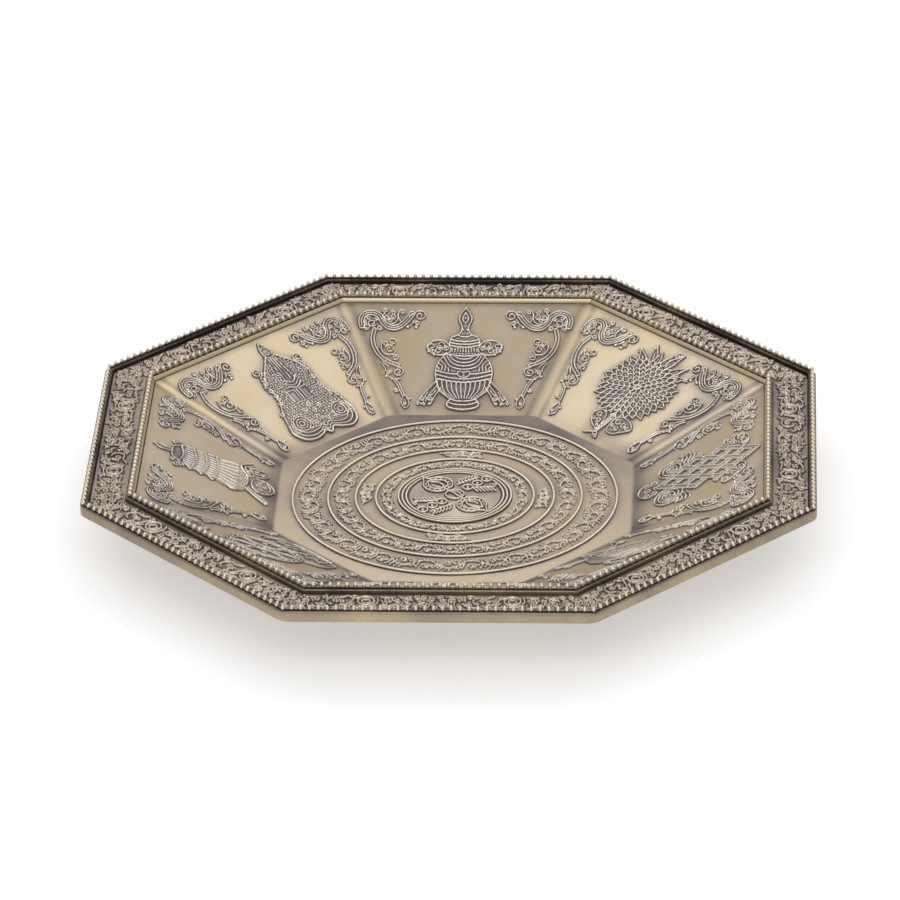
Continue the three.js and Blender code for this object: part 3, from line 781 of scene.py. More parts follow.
@dataclass
class CornerScrolls:
    """Two mirrored scrolls beside each emblem, in the upper corners of a sloping wall."""

    plan: Plan
    line: float = 0.48
    top: float = 1.05
    lift: float = 0.72
    area: tuple[float, float, float, float] = (-40.6, 1.4, -13.4, 48.4)
    step: float = 0.17

    def marks(self) -> list[Mark]:
        """Draws the left scroll, across from the middle of the wall and down from the seam."""
        w = {"width": self.line, "top": self.top}
        return [
            *cord((-19.2, 4.9), (-21.3, 8.3), (-24, 10.9), (-27, 11.1), (-29.4, 8.9), (-30.9, 6), (-33.6, 4.4),
                  (-36.4, 5.3), (-37.4, 8), (-37, 10.6), gap=1.9, **w),
            curl(-16.3, 5.8, 2.4, -160, 1.55, 1, lead=[(-20.4, 6.2)], **w),
            curl(-17.4, 9.4, 1.15, 200, 1.2, 1, **w), pearl(-17.7, 10.9, 0.7, 0.9), pearl(-20.7, 10.8, 0.7, 0.9),
            ridge((-18.6, 8), (-19.4, 9.8), (-20.8, 10.8), **w),
            ridge((-24.4, 5.2), (-24.3, 7.4), (-25.5, 9.2), (-27.4, 9.5), (-29.2, 8.2), (-29.8, 5.8), (-28.9, 5), **w),
            *knots((-28.2, 6.6, 1.0), (-26.1, 6.3, 1.0), (-27.1, 8.1, 0.8), (-25.9, 4.3, 0.8), **w),
            curl(-28.8, 3.5, 1.15, 100, 1.4, 1, **w),
            curl(-22.7, 4.1, 1.25, 180, 1.4, 1, lead=[(-23.4, 8.2), (-24.2, 6)], **w),
            *knots((-33.5, 9.1, 1.45), (-35.6, 10.9, 1.15), (-34.9, 7.0, 0.8), (-36, 8.9, 0.7), (-30.6, 11.3, 0.9),
                   (-32.1, 7.2, 0.7), **w),
            ridge((-32.5, 12), (-33.1, 16), (-32.2, 20.2), (-29.9, 24.2), (-26.6, 26.7), (-23.6, 28), rails=1.1, **w),
            curl(-23.4, 31.1, 2.15, -95, 1.55, 1, lead=[(-25.6, 27.6)], **w),
            *knots((-28.1, 18.3, 1.0), (-26, 17.3, 1.3), (-26.8, 20.8, 1.45), (-24.3, 24.6, 1.15), **w),
            ridge((-29.6, 17.2), (-29.8, 20.6), (-28.2, 23), (-25.6, 23.2), (-24.5, 21.8), **w),
            ridge((-29.8, 27), (-28.2, 29.2), (-27.9, 30.8), **w), ridge((-29.2, 26.4), (-26.8, 28.8), **w),
            curl(-26.6, 31.3, 1.05, 0, 1.3, -1, **w), pearl(-27.6, 33, 0.6, 0.9), pearl(-25.5, 34, 0.65, 0.9),
            ridge((-27.6, 31.8), (-26.4, 33.4), (-24.4, 34.4), (-22.4, 34.1), **w),
            ridge((-24.4, 34.8), (-23.1, 36.8), (-22.1, 39.2), (-21.3, 41.4), rails=0.8, **w),
            curl(-23.8, 39.2, 0.95, 20, 1.2, 1, **w), pearl(-18.9, 43, 0.55, 0.9),
            loop((-20.9, 41.4), (-21.9, 44.8), (-20.4, 47.2), (-19, 45.6), (-19.7, 43), **w),
            curl(-20.4, 45.2, 0.75, 90, 1.1, 1, **w), pearl(-22.6, 37, 0.35, 1.0),
        ]

    def canvas(self) -> Canvas:
        """Returns the painted left scroll."""
        return Canvas(*self.area, self.step).paint(self.marks()).bed()

    def build(self, canvas: Canvas) -> list[Piece]:
        """Builds all sixteen scrolls from the painted left one."""
        made = []
        for word, drawn in (("left", canvas), ("right", canvas.mirrored())):
            flat = raise_mesh(word, drawn, lift=self.lift)
            for place in range(SIDES):
                name = f"corner_scroll_{word}_{place + 1}"
                mesh = copied(flat, name + "_dressed", self.plan.wall(place))
                # Painted light and shade: the relief is lighter or darker by the way its wall faces.
                paint_wall_light(mesh, WALL_LIGHT.get(place, 1.0))
                made.append(Piece(name + "_dressed", mesh, RELIEF, "wall_relief", (name,)))
            bpy.data.meshes.remove(flat)
        return made


def vase() -> list[Mark]:
    """Draws the treasure vase with its finial, swags and scarves."""
    w = {"width": 0.5, "top": 1.1}
    half = [
        ridge((0, 2.2), (1.6, 4.8), (2.3, 7.4), (1.3, 10.2), **w),
        ridge((0, 4.4), (0.95, 6.6), (0.8, 8.2), (0, 9.2), **w),
        ridge((1.3, 10.4), (1.2, 12.2), (2.1, 14.2), (4.2, 15.4), (5.2, 16.8), (5.4, 19.6), (4.8, 21), (5.6, 22.6),
              (7.2, 24), (9, 26.6), (10, 30), (10, 33.4), (9, 37.6), (6.6, 41), (4.6, 43.2), **w),
        pearl(0.75, 12.2, 0.45), pearl(0.9, 13.9, 0.4), ridge((2.4, 14.6), (1.4, 15.2), (0, 15.4), **w),
        ridge((7.2, 24.6), (5.2, 28.2), (2.6, 29.6), (0, 30), **w),
        ridge((6.2, 24), (4.6, 26.8), (2.4, 28.1), (0, 28.5), **w),
        ridge((5.2, 23.9), (3.8, 25.7), (2, 26.7), (0, 27), **w), ridge((3.6, 23.8), (2.2, 25), (0, 25.5), **w),
        ridge((9.2, 27.2), (7.7, 28.6), (8.1, 30.6), **w), ridge((8.2, 26.2), (6.6, 28.2), (6.8, 30.6), **w),
        ridge((9.6, 28.8), (8.8, 29.6), (9.2, 30.6), **w), ridge((5.6, 29.2), (5.4, 30.8), **w),
        ridge((9.9, 30.7), (5, 31.9), (2.2, 32), **w), ridge((10, 32.2), (5, 33.7), (0, 34.4), **w),
        ridge((10, 34), (5, 35.2), (0, 35.9), **w), ridge((2.2, 31.2), (1.9, 32.8), (0, 33.7), **w),
        ridge((2.2, 31.2), (1.1, 30.9), (0, 31.6), **w), ridge((4.6, 43.2), (2.4, 44), (0, 44.2), **w),
        ridge((5, 44.7), (2.6, 45.6), (0, 45.8), **w),
        ridge((4.4, 43.3), (5.3, 44.5), (5.7, 45.7), (4.8, 46.9), (2, 47.7), (0, 47.9), width=0.8, top=1.1),
        *knots((8.5, 18.9, 1.45), (11.8, 19.7, 1.3), (9.2, 21.5, 1.2), (6.7, 20.6, 0.9), (11.2, 21.9, 0.8), **w),
        ridge((5.4, 19.4), (6.8, 17.6), (9, 16.9), (11.4, 17.4), (13.2, 19), (13.3, 20.8), (12.2, 22), **w),
        ridge((6.2, 22.6), (8, 23.6), (10.6, 23.2), **w), pearl(12.9, 22, 0.55), pearl(10.9, 23.4, 0.6),
        ridge((9.7, 35.2), (12.6, 39.2), (15, 42.6), (16.2, 45), **w), ridge((8, 38.2), (9.8, 41.6), (11.2, 45), **w),
        ridge((9, 36.8), (11.4, 40.4), (13.2, 44.2), **w), ridge((12.4, 40.2), (13.4, 41.8), (13, 43), **w),
        *knots((11.6, 43, 0.75), (14.2, 43, 0.8), **w), ridge((9.6, 39.2), (10.8, 41.2), (12, 41.8), **w),
        curl(15.8, 45.4, 0.9, 180, 1.0, 1, **w), curl(13.8, 45.6, 0.8, 0, 1.0, -1, **w), pearl(11.8, 45.4, 0.75),
    ]
    for y, reach in ((16.6, 5.0), (17.9, 5.2), (19.2, 5.2)):
        half.append(ridge((reach, y), (reach / 2, y + 0.7), (0, y + 0.9), width=0.65, top=1.1))
    for step in range(5):
        x = step * 0.95 + 0.45
        half.append(ridge((x, 20.6), (x * 1.06, 22.0), width=0.42, top=1.0))
    for step in range(6):
        x = step * 1.72 + 0.86
        low = 36.2 - 0.012 * x * x
        half += [ridge((x, low), (x * 0.9, 39.4), (x * 0.5, 43), width=0.46, top=1.05),
                 ridge((x, low), (x - 0.86, low - 0.7), (x - 1.72, low), width=0.42)]
    half += [pearl(0.55 + 1.1 * step, 22.9 + 0.04 * (5 - step), 0.36, 1.1) for step in range(5)]
    body = [
        plate(*twin((0, 2.2), (1.7, 4.8), (2.4, 7.4), (1.4, 10.2), (1.6, 13), (5.2, 16.4), (5.4, 19.6), (5.4, 22),
                    (7.2, 24), (9, 26.6), (10, 30), (10, 33.4), (9, 37.6), (6.6, 41), (4.6, 43.2), (5.5, 45.2),
                    (4.6, 47), (0, 47.9)), top=0.5),
        ridge((-5.8, 23.4), (0, 24), (5.8, 23.4), width=0.6, top=1.0),
        pearl(0, 6.9, 0.5, 1.2), pearl(0, 32.6, 0.5, 1.3),
    ]
    return body + both(half)


def petal(x: float, y: float, angle: float, length: float, width: float, vein: bool = True) -> list[Mark]:
    """Draws a pointed petal that hides what lies under it.

    Args:
        x: across to its foot.
        y: down to its foot.
        angle: its direction in degrees, 0 to the right and 90 downwards.
        length: from foot to tip.
        width: at its widest.
        vein: adds a vein down its middle.
    """
    turn = math.radians(angle)

    def at(along: float, aside: float) -> Point:
        """Returns a point by its share of the length and half width."""
        a, b = along * length, aside * width / 2
        return (x + a * math.cos(turn) - b * math.sin(turn), y + a * math.sin(turn) + b * math.cos(turn))

    side = ((0, 0.45), (0.3, 0.85), (0.58, 0.8), (0.8, 0.36))
    outline = [at(*spot) for spot in side] + [at(1.04, 0)] + [at(a, -b) for a, b in reversed(side)]
    marks = [plate(*outline, top=0.45, covers=True), loop(*outline, width=0.44, top=1.1)]
    return marks + [ridge(at(0.1, 0), at(0.6, 0), width=0.34, top=0.8)] * vein


def rings(x: float, y: float, *radii: float, **options: float) -> list[Mark]:
    """Draws circles round a centre."""
    steps = [math.tau * i / 14 for i in range(14)]
    return [loop(*((x + r * math.cos(a), y + r * math.sin(a)) for a in steps), **options) for r in radii]


def lotus() -> list[Mark]:
    """Draws the lotus: a blossom of pointed petals on a stem between two leaves."""
    x, y = 1.5, 22.4
    w = {"width": 0.46}
    marks = cord((2.8, 33), (2.6, 38), (1.9, 42), (1.2, 45), gap=1.3)
    left = ((-5.2, 38.4), (-3, 36.4), (-0.4, 37.2), (0.9, 40.6), (1.2, 44.2), (-1.6, 43.4), (-4.2, 41.2))
    right = ((4.4, 37.2), (8, 35.8), (11.6, 36.8), (13.4, 39.2), (10.8, 41.6), (7.8, 43.6), (4.9, 42.8))
    for outline in (left, right):
        marks += [plate(*outline, top=0.4), loop(*outline, **w)]
    marks += knots((-2.6, 38.3, 1.1), (-1.4, 40.8, 1.0), (-0.2, 42.8, 0.6), (6.8, 38.2, 1.2), (9.6, 38.6, 1.1),
                   (7.6, 40.9, 1.0), (11.6, 39.4, 0.8), (5.6, 40.4, 0.7), (-3.4, 40.6, 0.7), (1.7, 46.2, 1.1), **w)
    marks += [ridge((0.4, 46), (-1.2, 46.8), (-2.8, 47.6), width=0.8, tip=0.4),
              ridge((2.8, 46.2), (3.6, 47.4), (2.8, 47.9), **w)]
    outer_petals = ((-0.6, 13, -118, 10.6, 3), (3.4, 13, -66, 10.6, 3), (-3, 14, -138, 9.4, 3), (6.4, 14, -44, 9.4, 3),
                    (0.4, 13, -102, 7.6, 2.6), (2.4, 13, -80, 8, 2.6), (-5, 15, -156, 7.4, 2.8),
                    (8.4, 15, -24, 8.4, 2.8))
    for outer in outer_petals:
        marks += petal(*outer)
    marks += knots((-5.2, 4.4, 0.9), (5.6, 3.6, 1.0), (-10.4, 8.6, 0.9), (11.6, 12.2, 1.0), (16.2, 11.6, 0.9), **w)
    rows = ((11.8, 15.6, 32), (9.6, 13.2, 28), (7.4, 10.8, 23), (5.3, 8.4, 18), (3.3, 6.1, 13), (1.3, 3.8, 8))
    for foot, tip, count in rows:
        for step in range(count):
            a = math.tau * (step + 0.5 * (count % 2)) / count - math.pi / 2
            tall = 0.93 if math.sin(a) > 0 else 0.82
            far = tip + (1.1 if count == 32 and step % 3 == 0 and math.sin(a) > -0.6 else 0)
            reach = math.hypot((far - foot) * math.cos(a), (far - foot) * tall * math.sin(a))
            lean = math.atan2(tall * math.sin(a), math.cos(a))
            marks += petal(x + foot * math.cos(a), y + foot * tall * math.sin(a), math.degrees(lean), reach,
                           math.tau * tip / count * 0.92, 8 < count < 32)
    return marks + rings(x, y, 0.7, **w)


def knot() -> list[Mark]:
    """Draws the endless knot: woven straps of three lines, rounded loops below, a tassel and scarves."""
    lean, near = math.radians(54), 5.75
    far = 2 * near

    def woven(a: float, b: float) -> Point:
        """Returns the place of a point counted along the two sets of straps."""
        return (1.4 + (a + b) * math.cos(lean), 21 + (b - a) * math.sin(lean))

    def strap(*line: Point) -> list[Mark]:
        """Draws a straight strap that hides what lies under it."""
        return [Mark(line, rails=1.9, width=0.48, top=1.15, covers=True, smooth=False),
                Mark(line, width=0.36, top=0.95, smooth=False)]

    marks = []
    for x, y, reach in ((-8, 35, 5), (10.5, 36, 5.4)):
        marks += rings(x, y, reach, reach - 1.5, reach - 3, width=0.46) + knots((x, y, 1.1))
    tassel = ((-3.4, 41), (0.6, 39.4), (5, 41), (5.8, 44), (3.8, 46.6), (0.8, 47.8), (-2.4, 46.8), (-4, 44))
    marks += [plate(*tassel, top=0.4), ridge(*tassel[2:], width=0.5)]
    marks += knots((-2.6, 41.4, 1.3), (4.2, 41.6, 1.3), (0.8, 40.9, 1.2), (-2.2, 44.4, 1.1), (1, 44, 1.2),
                   (3.8, 44.6, 1.0))
    marks += knots((-11.2, 8.2, 1.4), (-8, 7.4, 1.7), (-11.8, 12.6, 1.5), (-9, 11.4, 1.1), (-6, 7, 0.9),
                   (10.8, 8.4, 1.4), (13.2, 10.8, 1.5), (11.6, 13, 1.1), (15.6, 14.2, 1.3), (9.6, 10.8, 0.9))
    marks += [ridge((-4, 8), (-5.6, 5.8), (-9, 5.4), (-12.4, 7), (-13.2, 10), (-13.4, 14), (-11, 15), (-9, 13),
                    width=0.46),
              ridge((6.6, 9), (9, 6.8), (12.4, 7), (15, 9.6), (17.2, 13.4), (16.6, 15.6), (13.4, 15.2), width=0.46)]
    for hand, x, y in ((-1, -9, 26.5), (1, 12, 28)):
        for step in range(4):
            low = y + step * 1.5
            marks.append(ridge((x, low + 1), (x + hand * 3.4, low - 0.3), (x + hand * 6.6, low + 0.5 * step),
                               width=0.46))
        marks += knots((x + hand * 5.8, y + 3.4, 1.1), (x + hand * 3.2, y + 5.4, 1.0))
    levels = [(-far, -near, far), (-near, -far, far), (0, -far, far), (near, -far, far), (far, -far, near)]
    for level, low, high in levels:
        marks += strap(woven(level, low), woven(level, high))
    for level, low, high in levels:
        marks += strap(woven(low, level), woven(high, level))
    for i, (a, *_) in enumerate(levels):
        for j, (b, *_) in enumerate(levels):
            if (i + j) % 2 and abs(a + b) < 1.9 * far:
                marks += strap(woven(a, max(-far, b - 1.9)), woven(a, min(far, b + 1.9)))
    for a, b in ((1, -1), (-1, 1)):
        marks += strap(woven(a * near, b * far), woven(a * far, b * far), woven(a * far, b * near))
    for a, b in ((-far, -near), (-near, -far), (far, near), (near, far)):
        inward = -1 if a < 0 else 1
        marks += strap(woven(a - inward * 2.4 * (abs(a) < far), b - inward * 2.4 * (abs(b) < far)), woven(a, b),
                       woven(a - inward * 2.4 * (abs(a) > near), b - inward * 2.4 * (abs(b) > near)))
    return marks


def conch() -> list[Mark]:
    """Draws the whorled shell standing on its canal."""
    outline = ((-2.6, 2.8), (0.2, 5.8), (3.6, 10), (8.4, 15.6), (11.6, 21.6), (11, 29), (7.2, 36.2), (3.2, 41.6),
               (0.8, 47), (-1.6, 44), (-3.2, 38), (-7.4, 32.4), (-10.6, 26), (-10, 19.6), (-7.6, 14.5), (-5.4, 8))
    marks = [plate(*outline, top=0.6), loop(*outline, width=0.6)]
    for y, reach in ((6.4, 1.8), (9, 3.4), (12, 5), (15.6, 7)):
        marks.append(ridge((-reach - 2, y + 1), (-1, y - 1), (reach, y + 1.4), width=0.7))
    for step in range(7):
        marks.append(ridge((-9 + step * 1.2, 19 + step * 2.6), (-3 + step, 17 + step * 3), (8 - step, 19 + step * 3),
                           width=0.6))
    marks += [curl(0.5, 20, 4, 180, 1.8, 1), ridge((2, 22), (5.6, 26), (5, 33), (1.4, 40), width=0.6, rails=1.6)]
    marks += both([ridge((6, 38), (10, 41), (13, 45.5), width=0.5, rails=1.6), curl(12.4, 40, 1.8, 0, 1.3, 1),
                   ridge((9, 14), (12.5, 11), (14, 14.6), width=0.5, rails=1.6), curl(13, 18, 1.5, 90, 1.2, -1)])
    return marks


def fish() -> list[Mark]:
    """Draws the two fish standing head up, their tails crossed below."""
    body = ((1.2, 7), (2.6, 3.8), (6.4, 4.2), (9.4, 8.4), (12, 14.6), (12.4, 22), (10.2, 29.4), (7, 35.6), (3, 37.4),
            (5.4, 31), (5.2, 23), (4.4, 16), (2.2, 11))
    half = [plate(*body, top=0.7), loop(*body, width=0.6), pearl(5.4, 7.6, 0.9), curl(3.2, 6.6, 1.1, 0, 1, 1),
            ridge((8.8, 9), (6.6, 11.6), (4.6, 12), width=0.6)]
    for row in range(9):
        y = 13.5 + row * 2.5
        left = 4.4 + 0.9 * math.sin(row / 2.4)
        half += [ridge((left + k * 2.2, y), (left + k * 2.2 + 1.1, y + 1.2), (left + k * 2.2 + 2.2, y), width=0.45)
                 for k in range(3)]
    half += [ridge((x, 44.5), (4.6, 39.5), (0, 35), width=0.5) for x in (11.8, 9.6, 7.4, 5.2)]
    half += [ridge((12.2, 14), (14.6, 16), (12.6, 20.4), width=0.6), ridge((11.6, 25), (14, 28), (10.6, 30), width=0.6)]
    return both(half) + [curl(0, 21, 2.6, -90, 1.6, 1), pearl(0, 27, 1.1), pearl(0, 15, 1.1), pearl(0, 31, 0.8)]


def wheel() -> list[Mark]:
    """Draws the eight-spoked wheel under a jewel, on a lotus seat."""
    y = 21.5
    marks = rings(0, y, 13.4, 11.2, width=0.6) + rings(0, y, 3.6, 2.2, width=0.6) + [pearl(0, y, 1.2)]
    for spoke in range(8):
        a = spoke * math.pi / 4
        points = [(r * math.sin(a), y - r * math.cos(a)) for r in (3.8, 7.4, 11.2)]
        marks += [ridge(*points, width=0.5, rails=1.4), pearl(*points[1], 1.1)]
        marks += [pearl(12.3 * math.sin(a + t), y - 12.3 * math.cos(a + t), 0.55) for t in (0.13, 0.39, 0.65)]
    marks += petal(0, 8.6, -90, 6, 3.4)
    for hand in (-1, 1):
        marks += [ridge((hand * 2, 8), (hand * 6, 5), (hand * 9, 8), width=0.5, rails=1.4),
                  ridge((hand * 12, 31), (hand * 15, 36), (hand * 13, 43), width=0.5, rails=1.6)]
    for place in (-2, 2, -1, 1, 0):
        marks += petal(place * 3.4, 44, -90 + place * 16, 8 - abs(place) * 0.6, 5)
    marks.append(ridge((-9.4, 45.4), (0, 46.4), (9.4, 45.4), width=1.2))
    return marks


def banner() -> list[Mark]:
    """Draws the banner of victory: finial, canopy, three beaded tiers, skirt, scarves and a bell."""
    w = {"width": 0.46}
    marks = [plate((-6, 15), (6.6, 15), (7.2, 25), (9.2, 33), (6, 38), (-5, 38), (-8.6, 33), (-6.4, 25), top=0.64),
             ridge((0.3, 2.8), (-1.3, 5.4), (-1, 8), (-0.6, 10), **w),
             ridge((0.3, 2.8), (1.1, 5.4), (0.6, 8), (1, 10), **w),
             plate((-3.2, 10.2), (3.6, 10.2), (5.6, 12.8), (-4.8, 12.8), top=0.3, smooth=False),
             ridge((-5, 13), (0.3, 14.1), (5.7, 13), width=0.55, top=1.2), ridge((-3.2, 10), (3.4, 10), **w),
             ridge((3.4, 10), (4.6, 11.4), (5.8, 12.8), width=0.6), ridge((-3.2, 10), (-4.6, 11.6), (-5.6, 13.4), **w)]
    marks += knots((-8, 11.8, 1.2), (-7.2, 13.8, 0.9), (-5.8, 10.6, 0.8), (6.8, 10.6, 0.9), (8, 11.9, 0.9), **w)
    for y, left, right in ((15.2, -5.6, 7), (19.4, -6, 7.2), (23.7, -6.4, 7.8)):
        count = round((right - left) / 1.5)
        for step in range(count + 1):
            x = left + (right - left) * step / count
            fall = 0.9 - 0.022 * (x - 0.3) ** 2
            marks += [ridge((x, y + fall), (x + 0.1, y + fall + 1.7), width=1.6, top=0.82, tip=0.75),
                      pearl(x + 0.75, y + fall + 2.5, 0.42, 1.1)]
        marks += [ridge((left - 0.2, y + 2.6), (0.3, y + 4.1), (right + 0.6, y + 2.4), width=0.36, top=1.0),
                  ridge((left, y - 0.4), (left - 1.1, y + 1), (left - 2, y + 2.2), (left - 0.6, y + 2.8), width=0.6),
                  ridge((left + 0.2, y + 0.6), (left - 0.8, y + 2), width=0.4)]
    for x, lean in zip(np.arange(-5.6, 7.4, 1.85), (-2.6, -2, -1.3, -0.6, 0.1, 0.8, 1.4, 2)):
        marks.append(ridge((x, 28.2), (x + lean * 0.6, 31.5), (x + lean, 34.4), width=1.9, top=0.8))
    marks += [ridge((-6.2, 27.8), (-7.4, 30.4), (-9, 33.2), (-7.4, 35.2), (-5.6, 36.6), width=0.62, top=1.15),
              ridge((7.6, 27.6), (8.6, 30.4), (10, 33.8), width=0.45)]
    scatter = random.Random(5)
    for x in np.arange(-4.6, 5, 1.3):
        turn = scatter.uniform(-0.5, 0.5)
        marks += [ridge((x, 33.6 + turn), (x + 0.5, 35.2), (x - 0.2, 36.6 + turn), width=0.42),
                  pearl(x + 0.6, 37.2 + turn, 0.35)]
    marks += [ridge((-5.4, 36.8), (-2, 38.2), (1.6, 38.6), (5, 37.4), width=0.42),
              ridge((-4.8, 38.2), (-7.4, 41.4), (-10.2, 46.2), width=1.0, top=1.1),
              ridge((-3.6, 38.8), (-5.6, 42), (-6.8, 44.6), **w), ridge((-6.2, 41.4), (-8.2, 45.6), (-9.8, 46.6), **w)]
    marks += [ridge((3.6, 38.6), (6.6, 36.4), (9.8, 35.4), (12, 37.2), (14, 39.6), width=0.75, top=1.15),
              ridge((4.8, 39.4), (7.4, 37.7), (9.6, 36.9), (11.2, 38.4), (12.8, 40.2), **w),
              ridge((6, 40.2), (6.4, 42.6), (8.6, 45.6), (11, 46.2), **w),
              ridge((7.6, 40.2), (8.6, 43), (10.6, 44.8), **w),
              ridge((10.8, 40), (11.6, 42.6), (12, 45), **w)]
    marks += knots((8.2, 39, 0.9), (10.6, 39.2, 0.8), (9.6, 41.6, 0.8), (9.2, 44, 0.7), **w)
    bell_outline = ((-3.2, 41.2), (0.6, 40), (4, 41), (4.8, 44.6), (3.4, 47.4), (0.6, 48.6), (-2.4, 47.2), (-3.9, 44.4))
    marks += [plate(*bell_outline, top=0.5), loop(*bell_outline, width=0.5, top=1.1),
              ridge((-3.4, 45.6), (0.6, 47.2), (4.2, 45.6), **w)]
    return marks + knots((0.6, 42.6, 1.0), (-1.8, 43.4, 0.8), (3, 43.2, 0.8), (0.8, 45, 0.6), **w)


def parasol() -> list[Mark]:
    """Draws the parasol: finial, ribbed canopy, knots, hanging cloth and a base of two lobes."""
    w = {"width": 0.46}
    marks = [plate((1.8, 2), (3.6, 5), (4, 8.6), (9.2, 14.6), (11.6, 20), (10.6, 26), (11.4, 30), (13.8, 34),
                   (14.6, 40), (13.4, 45.4), (10, 47.6), (6, 46.8), (2.5, 45.3), (0.5, 47.2), (-1.5, 45.3), (-3, 46.4),
                   (-7, 47.2), (-11, 46), (-13.5, 42), (-12.6, 37.6), (-11.4, 33), (-8.6, 28), (-8, 24), (-9.4, 20),
                   (-5.4, 14.6), (-0.4, 8.6), (0, 5), top=0.5)]
    scatter = random.Random(7)
    for row in range(32):
        y = 10.2 + row * 1.04
        left = -1.2 - 0.78 * (y - 8.6) if y < 20 else -8 - 0.35 * max(0.0, y - 26)
        right = 4.4 + 0.62 * (y - 8.6) if y < 20 else 10.4 + 0.28 * max(0.0, y - 26)
        for x in np.arange(left + 0.9 + 0.55 * (row % 2), right - 0.4, 1.12):
            ribs = -0.8 < x < 4.8 and y < 25
            plain = 24.6 < y < 30.6 and (-3.4 < x < 5.2)
            lobe = min(math.hypot(x + 7.5, y - 39.6), math.hypot(x - 10, y - 40)) < 3.4 or y > 42.6
            if not ribs and not plain and not lobe:
                a, bend = scatter.uniform(0, math.tau), scatter.choice((-1.3, 1.3))
                reach = scatter.uniform(0.36, 0.58)
                marks.append(ridge((x - reach * math.cos(a), y - reach * math.sin(a)),
                                   (x + 0.3 * math.sin(a) * bend, y - 0.3 * math.cos(a) * bend),
                                   (x + reach * math.cos(a + bend), y + reach * math.sin(a + bend)),
                                   width=0.38, top=scatter.uniform(0.75, 1.0)))
    marks += [ridge((1.8, 1.9), (0.4, 4.4), (0, 6.6), (0.4, 8.4), **w),
              ridge((1.8, 1.9), (3.2, 4.4), (3.7, 6.6), (3.3, 8.4), **w),
              ridge((0.7, 5), (1.8, 4.4), (3, 5), **w), ridge((0.9, 7.4), (1.8, 8), (2.8, 7.4), **w),
              ridge((0, 8.9), (1.8, 9.4), (3.8, 8.9), **w),
              ridge((0, 8.6), (-5.2, 14.6), (-9.5, 20.2), smooth=False, width=0.55, top=1.15),
              ridge((3.9, 8.6), (9, 14.5), (11.4, 20), smooth=False, width=0.55, top=1.15),
              ridge((-1, 20.4), (1.9, 22.1), (4.9, 20), width=0.6, top=1.2),
              ridge((-1.4, 21.9), (1.9, 23.5), (5.2, 21.4), **w),
              ridge((-1, 23.4), (1.9, 24.8), (4.8, 23.1), width=0.6, top=1.15),
              ridge((-3.8, 25.2), (-0.4, 25.4), **w), ridge((2.4, 25.4), (5.4, 25), **w)]
    marks += [ridge((u, 9.8), (u + bend * 0.3, 14), (u + bend, 20.2), **w)
              for u, bend in ((0.2, -0.5), (1.2, -0.1), (2.2, 0.2), (3.2, 0.9))]
    marks += [ridge((u, 25.2), (u, 30.2), **w) for u in (-3.4, -0.2, 0.9, 2.2, 5.2)]
    for hand, edge in ((-1, ((-9.5, 20.2), (-8.2, 21), (-8, 25), (-8.8, 28.4), (-11.4, 33), (-12.6, 37.4))),
                       (1, ((11.4, 20), (10.6, 22), (10.6, 27), (11.6, 30.6), (13.4, 33.4), (14, 38)))):
        marks.append(ridge(*edge, **w))
        for (u, v), turn in zip(edge[1:5] * 2, (0, 20, -20, 10, 30, -30, 0, 15)):
            v += 1.4 if turn in (30, -30, 0) else 0
            marks.append(curl(u + hand * 0.3, v, 0.95, 90 + hand * turn, 1.0, hand, shrink=0.5, width=0.42))
    for x, hand in ((-8, -1), (11.2, 1)):
        marks.append(curl(x, 13.4, 2.1, 90, 1.6, hand, shrink=0.75, width=0.5, top=1.1))
        marks += knots((x - hand * 0.4, 16.6, 0.9), (x + hand * 0.2, 18.6, 0.9), (x - hand * 1.9, 14.6, 0.7))
    for x, y in ((-7.6, 39.4), (10, 39.8)):
        marks += rings(x, y, 1.0, 2.1, 3.2, **w)
        marks += [pearl(x + 4.1 * math.cos(a), y + 4.1 * math.sin(a), 0.38, 0.95) for a in np.arange(2.4, 7.1, 0.36)]
    lower = ((-12.9, 38.4), (-13.5, 42), (-11, 45.9), (-7, 47.2), (-3, 46.4), (-1.5, 45.2), (0.5, 47.1), (2.5, 45.2),
             (6, 46.7), (10, 47.6), (13.4, 45.4), (14.5, 41), (13.8, 37.9))
    marks.append(ridge(*lower, width=0.9, top=1.2))
    for inset in (0.085, 0.17):
        marks.append(ridge(*((0.6 + (u - 0.6) * (1 - inset), 36 + (v - 36) * (1 - inset * 1.6)) for u, v in lower),
                           width=0.5, top=1.1))
    marks += knots((0.8, 33, 1.0), (0.8, 36, 0.8), (-2.4, 35, 0.8), (4.2, 35, 0.8), (0.6, 39.4, 1.2), (-2, 41, 0.8),
                   (3.2, 41, 0.8), **w)
    return marks


@dataclass
class Emblems:
    """The eight auspicious emblems, one in the middle of each sloping wall."""

    plan: Plan
    lift: float = 0.72
    area: tuple[float, float, float, float] = (-17.6, 1.2, 17.6, 49)
    step: float = 0.17

    def canvases(self) -> dict[str, Canvas]:
        """Returns the painted emblems by name, clockwise from the back."""
        drawings = (vase, lotus, knot, conch, fish, wheel, banner, parasol)
        return {draw.__name__: Canvas(*self.area, self.step).paint(draw()).bed() for draw in drawings}

    def build(self, canvases: dict[str, Canvas]) -> list[Piece]:
        """Builds the emblems from their paintings."""
        made = []
        for place, (name, canvas) in enumerate(canvases.items()):
            mesh = raise_mesh(f"emblem_{name}_dressed", canvas, lift=self.lift)
            # Painted light and shade: the relief is lighter or darker by the way its wall faces.
            paint_wall_light(mesh, WALL_LIGHT.get(place, 1.0))
            mesh.transform(self.plan.wall(place))
            made.append(Piece(mesh.name, mesh, RELIEF, "wall_relief", (f"emblem_{name}",)))
        return made


